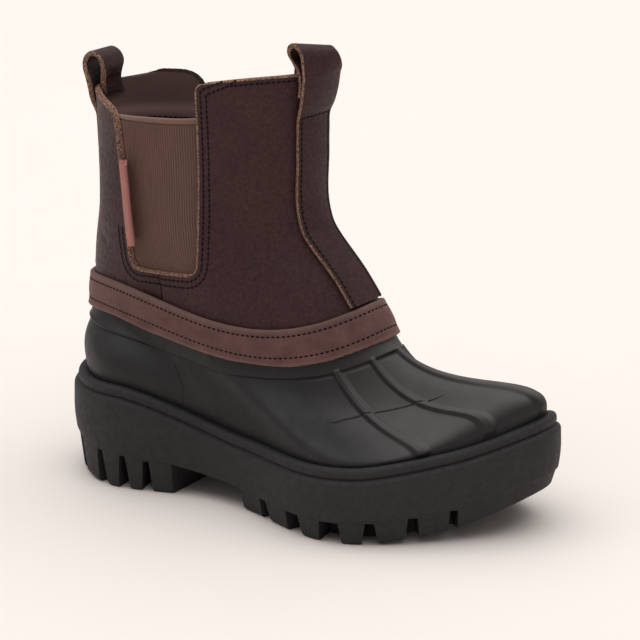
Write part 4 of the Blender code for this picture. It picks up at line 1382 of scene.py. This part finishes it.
def strap_points(pose, out, up, side):
    """Places on a strap: out from the leather, up from the collar, and across it from -1 to 1."""
    middle, lean, twist, tilt, sway = pose
    out, up, side = np.broadcast_arrays(*(np.asarray(value, float) for value in (out, up, side)))
    steps, spine, depth = strap_spine(middle)
    top = spine[-1]
    v = np.interp(up, -depth, steps)
    nudge = 0.004
    half = STRAP_WIDTH / 2
    swing = sway * ramp(-up, *SWING_DEPTHS)
    turn = middle + (side - swing) * half / turn_rate(middle, v, nudge)
    place = upper_offset(turn, v, out + STRAP_FLATNESS * side**2)

    # Above the collar the strap leans to the heel, flattens out, turns about its rise and tilts sideways
    upward = np.array([-math.sin(lean), 0.0, math.cos(lean)])
    ends = upper_point(np.array([middle + nudge, middle - nudge]), 2.0)
    across = unit(ends[0] - ends[1])
    flat = top + out[..., None] * np.cross(across, upward) + (side * half)[..., None] * across
    share = np.clip(up / STRAP_EASE, 0.0, 1.0)[..., None]
    ease = ramp(up, 0.0, STRAP_EASE)[..., None]
    rise = np.maximum(up, 0.0)[..., None]
    first = unit(top - spine[-4])
    arm = place * (1 - ease) + flat * ease + rise * (first * (1 - share / 2) + upward * share / 2) - top
    along = (arm @ upward)[..., None] * upward
    angle = twist * share
    arm = along + (arm - along) * np.cos(angle) + np.cross(upward, arm) * np.sin(angle)
    beside = across * math.cos(twist) + np.cross(upward, across) * math.sin(twist)
    drop = np.sin(tilt * share) * (arm @ beside)[..., None]
    return top + arm - upward * drop


def strap_path(pose, rows):
    """The path of a strap's middle layer from its foot to its tail, and the direction across the layer."""
    middle = pose[0]
    steps, _, depth = strap_spine(middle)
    foot = -np.interp(float(climb(middle, BAND_UP + STRAP_FOOT_GAP)), steps, depth)
    route = [(out, up) for _, out, up in rows]
    leg_out, leg_top = route[0]
    leg = np.stack([np.full(40, leg_out), np.linspace(foot, leg_top, 41)[:-1]], -1)
    path = np.vstack([leg, open_path(route, STRAP_ROWS)])
    return path, beside_path(path)


def make_strap(name, node, strap, leather, raw):
    pose, rows = strap
    path, beside = strap_path(pose, rows)
    half = STRAP_THICKNESS / 2
    flat = np.linspace(-0.955, 0.955, 13)
    outer = [(side, half) for side in flat]
    inner = [(side, -half) for side in flat[::-1]]
    bend = [(side, layer * half) for side, layer in STRAP_BEND]
    other = [(-side, -layer) for side, layer in bend]

    def grid(section):
        side, layer = np.array(section).T
        spots = path[:, None] + beside[:, None] * layer[None, :, None]
        return strap_points(pose, spots[..., 0], spots[..., 1], side[None, :])

    shape = Shape()
    shape.grid(grid(outer))
    shape.grid(grid(inner))
    shape.grid(grid([outer[-1], *bend, inner[0]]), finish=1)
    shape.grid(grid([inner[-1], *other, outer[0]]), finish=1)
    shape.ends(grid([*outer, *bend, *inner, *other]), finish=1)
    add_piece(name, shape, [leather, raw], [node])


def make_tag(leather):
    """A plain folded tab standing out from the rear edge of the outer gore."""
    angle = math.radians(TAG_ANGLE)
    out = np.array([math.cos(angle), -math.sin(angle)])
    across = np.array([-out[1], out[0]])
    half, slot, straight = TAG_THICKNESS / 2, TAG_SLOT / 2, TAG_DEPTH - TAG_THICKNESS / 2
    bends = np.linspace(0, math.pi, 15)
    section = [(d, -half) for d in np.linspace(0, straight, 9)[:-1]]
    section += [(straight + half * math.sin(a), -half * math.cos(a)) for a in bends]
    section += [(d, half) for d in np.linspace(straight, 0, 9)[1:]]
    inner = [(d, slot) for d in np.linspace(0, straight, 9)]
    inner += [(straight + slot * math.sin(a), slot * math.cos(a)) for a in bends[1:-1]]
    inner += [(d, -slot) for d in np.linspace(straight, 0, 9)]
    rows = np.linspace(0, 1, TAG_ROWS)
    turn = TAG_TURNS[0] + (TAG_TURNS[1] - TAG_TURNS[0]) * rows
    step = TAG_STEPS[0] + (TAG_STEPS[1] - TAG_STEPS[0]) * rows
    root = upper_offset(turn, step, TAG_LIFT)

    def grid(line):
        flats = [root[:, :2] + out * d + across * w for d, w in line]
        return np.stack([np.concatenate([flat, root[:, 2:]], -1) for flat in flats], 1)

    shape = Shape()
    shape.slab(grid(section), grid(inner[::-1]))
    add_piece("tag_tab", shape, [leather], ["tag"])


def make_lining(fleece, leather):
    """The lining inside the boot: lumpy fleece below, plain leather above."""
    turns = fine_turns(LINING_TURNS, ())[None, :]
    rows = np.linspace(*LINING_STEPS, LINING_ROWS)
    change = int(np.argmax(rows > LINING_CHANGE))
    rows = rows[:, None]
    angle = 2 * math.pi * turns
    lumps = np.sin(angle * 83 + 5 * np.sin(rows * 61)) * np.sin(rows * 97 + 4 * np.sin(angle * 31))
    lumps = lumps * (1 - ramp(rows, LINING_CHANGE - 0.05, LINING_CHANGE))
    thick = LINING_THICKNESS * (1 - 0.92 * ramp(rows, LINING_ROW + 0.015, LINING_ROW + 0.08))
    outer = upper_offset(turns, rows, LINING_OUT)
    inner = upper_offset(turns, rows, LINING_OUT - thick + LUMP_HEIGHT * lumps)
    shape = Shape()
    shape.grid(np.concatenate([inner[change::-1], outer[: change + 1]]), closed=True)
    shape.grid(np.concatenate([outer[change:], inner[: change - 1 : -1]]), finish=1, closed=True)
    add_piece("lining", shape, [fleece, leather])


def ball():
    """Points and four-cornered faces of a small ball."""
    shape = bmesh.new()
    bmesh.ops.create_cube(shape, size=2.0)
    bmesh.ops.subdivide_edges(shape, edges=shape.edges, cuts=1, use_grid_fill=True)
    shape.verts.index_update()
    points = np.array([vertex.co.normalized()[:] for vertex in shape.verts])
    faces = np.array([[vertex.index for vertex in face.verts] for face in shape.faces])
    shape.free()
    return points, faces


BALL_POINTS, BALL_FACES = ball()


def scatter(shape, frames, size, lift):
    """Balls stretched to a size along, across and up, at each of the frames."""
    middles, along, up = frames
    across = unit(np.cross(up, along))
    axes = np.stack([along, across, up], 1) * np.array(size)[None, :, None]
    points = np.einsum("pk,nkc->npc", BALL_POINTS, axes) + (middles + up * lift)[:, None]
    count = len(middles)
    faces = BALL_FACES[None] + (np.arange(count) * len(BALL_POINTS))[:, None, None]
    shape.add(points.reshape(-1, 3), faces.reshape(-1, 4), np.zeros((count * len(BALL_FACES), 4, 2)), 0)


def sew(threads, holes, line, normal, sunken=None):
    """A row of stitches along a line of points on a surface, with near-black needle holes as painted shade.
    Sunken ones show as small near-black dashes: the thread sunk in its groove, partly dark thread and partly
    painted shade.
    """
    arc = arc_length(line)
    count = max(int(round(arc[-1] / STITCH_PITCH)), 1)
    pitch = arc[-1] / count
    ahead = np.gradient(line, arc, axis=0)

    def frames(at):
        return resample(line, at), unit(interpolate(at, arc, ahead)), unit(interpolate(at, arc, normal))

    middles = frames((np.arange(count) + 0.5) * pitch)
    if sunken:
        # Sunken stitches: near-black dashes in the hole finish, partly dark thread and partly painted shade
        # in the groove
        scatter(holes, middles, sunken, 0.0)
        return
    scatter(threads, middles, (pitch * THREAD_SHARE, THREAD, THREAD), THREAD_LIFT)
    # Needle holes: near-black balls, painted shade standing in for the shade inside each hole
    scatter(holes, frames(np.arange(count + 1) * pitch), HOLE, 0.0)


def sew_upper(threads, holes, u, v, out, sunken=None):
    """A row of stitches along turns and steps of the upper, at a distance out from it."""
    sew(threads, holes, upper_offset(u, v, out), upper_normal(u, v), sunken)


def sew_strap(threads, holes, pose, rows):
    """Stitches along both edges of a strap's leg and across the foot of its loop."""
    path, beside = strap_path(pose, rows)
    face = path + beside * STRAP_THICKNESS / 2
    seam = int(np.argmax(path[:, 1] > STRAP_SEAM))
    lines = [(face[: seam + 1], np.full(seam + 1, side)) for side in (-STRAP_STITCH_SIDE, STRAP_STITCH_SIDE)]
    lines.append((np.repeat(face[seam : seam + 1], 30, 0), np.linspace(-1, 1, 30) * STRAP_STITCH_SIDE))
    for spots, side in lines:
        line = strap_points(pose, spots[:, 0], spots[:, 1], side)
        above = strap_points(pose, spots[:, 0] + 0.5, spots[:, 1], side)
        sew(threads, holes, line, above - line)


def sew_notch(threads, holes, corners, side, beyond):
    """A row of stitches round a gore, from a height on its rear edge to the collar's front."""
    u, v = notch_places(corners, side, beyond)
    height = upper_point(u, v)[:, 2]
    start = int(np.argmin(height))
    while start > 0 and height[start] < NOTCH_STITCH_TOP:
        start -= 1
    u, v = u[start:], v[start:]
    sew_upper(threads, holes, u, v, shaft_out(u, v))


def make_stitches(thread, hole):
    threads, holes = Shape(), Shape()
    turns = np.linspace(0, 1, 600)
    for up in BAND_ROWS:
        sew_upper(threads, holes, turns, climb(turns, up), band_out(up), BAND_STITCH)
    for corners, side in NOTCH_SIDES:
        for beyond in NOTCH_STITCHES:
            sew_notch(threads, holes, corners, side, beyond)
    for pose, rows in STRAPS:
        sew_strap(threads, holes, pose, rows)
    inside = np.linspace(*LINING_ROW_TURNS, 80)
    line = upper_offset(inside, LINING_ROW, LINING_OUT - LINING_THICKNESS)
    sew(threads, holes, line, -upper_normal(inside, np.full(80, LINING_ROW)))
    row = np.linspace(*COLLAR_ROW_TURNS, 60)
    for turns in (row, 1 - row):
        sew_upper(threads, holes, turns, collar_step(turns, COLLAR_ROW_DOWN), 0.0)
    add_piece("stitches", threads, [thread])
    # Needle holes and sunken stitches, near-black as painted shade
    add_piece("needle_holes", holes, [hole])


def add_floor():
    mesh = bpy.data.meshes.new("floor")
    corners = [(x * FLOOR_REACH, y * FLOOR_REACH, 0) for x, y in ((-1, -1), (1, -1), (1, 1), (-1, 1))]
    mesh.from_pydata(corners, [], [(0, 1, 2, 3)])
    mesh.materials.append(plain_finish("pale floor"))
    floor = add_object("floor", mesh)


def add_light(name, place, aim, size, power, colour):
    """A soft flat light at a place, facing a point."""
    lamp = bpy.data.lights.new(name, "AREA")
    lamp.shape = "RECTANGLE"
    lamp.size, lamp.size_y = size
    lamp.energy = power
    lamp.color = colour
    light = add_object(name, lamp)
    light.location = place
    away = np.array(place) - np.array(aim)
    distance = math.hypot(away[0], away[1])
    light.rotation_euler = (math.atan2(distance, away[2]), 0, math.atan2(away[0], -away[1]))


def add_lights():
    world = bpy.data.worlds.new("studio")
    bpy.context.scene.world = world
    world.use_nodes = True
    sky = world.node_tree.nodes["Background"]
    sky.inputs["Color"].default_value = (*SKY_COLOUR, 1.0)
    sky.inputs["Strength"].default_value = SKY_STRENGTH
    for lamp in LAMPS:
        add_light(*lamp)
    bpy.context.scene.view_settings.view_transform = "Standard"


def add_camera():
    turn, rise = math.radians(CAMERA_TURN), math.radians(CAMERA_RISE)
    back = np.array([math.sin(turn) * math.cos(rise), -math.cos(turn) * math.cos(rise), math.sin(rise)])
    lens = bpy.data.cameras.new("camera")
    camera = add_object("camera", lens)
    camera.location = (np.array(CAMERA_TARGET) + back * CAMERA_DISTANCE - ORIGIN) * MM
    camera.rotation_euler = (math.pi / 2 - rise, 0, turn)
    lens.sensor_width = SENSOR
    lens.lens = PIXELS_PER_MM * CAMERA_DISTANCE * SENSOR / PICTURE
    lens.shift_x = (PICTURE / 2 - TARGET_PIXEL[0]) / PICTURE
    lens.shift_y = (TARGET_PIXEL[1] - PICTURE / 2) / PICTURE
    lens.clip_end = 20.0
    bpy.context.scene.camera = camera


def build():
    leather, raw, inner = shaft_leather(), raw_leather(), plain_finish("inner leather")
    webbing = gore_elastic()
    make_sole(plain_finish("sole rubber"))
    make_insole(plain_finish("grey felt"))
    make_shell(shell_rubber())
    make_shaft(leather, raw, inner)
    make_raw_edges(raw)
    make_gore("webbing_outer", "gore_outer", GORE_TURNS, GORE_TOP_OUTER, webbing)
    inner_turns = [1 - turn for turn in GORE_TURNS]
    make_gore("webbing_inner", "gore_inner", inner_turns, GORE_TOP_INNER, webbing)
    make_band(band_leather())
    make_strap("strap_front", "pull_strap_front", STRAPS[0], leather, raw)
    make_strap("strap_back", "pull_strap_back", STRAPS[1], leather, raw)
    make_tag(plain_finish("tag leather"))
    make_lining(plain_finish("grey fleece"), inner)
    make_stitches(plain_finish("dark thread"), plain_finish("needle hole"))
    add_floor()
    add_lights()
    add_camera()


build()
bpy.context.view_layer.update()
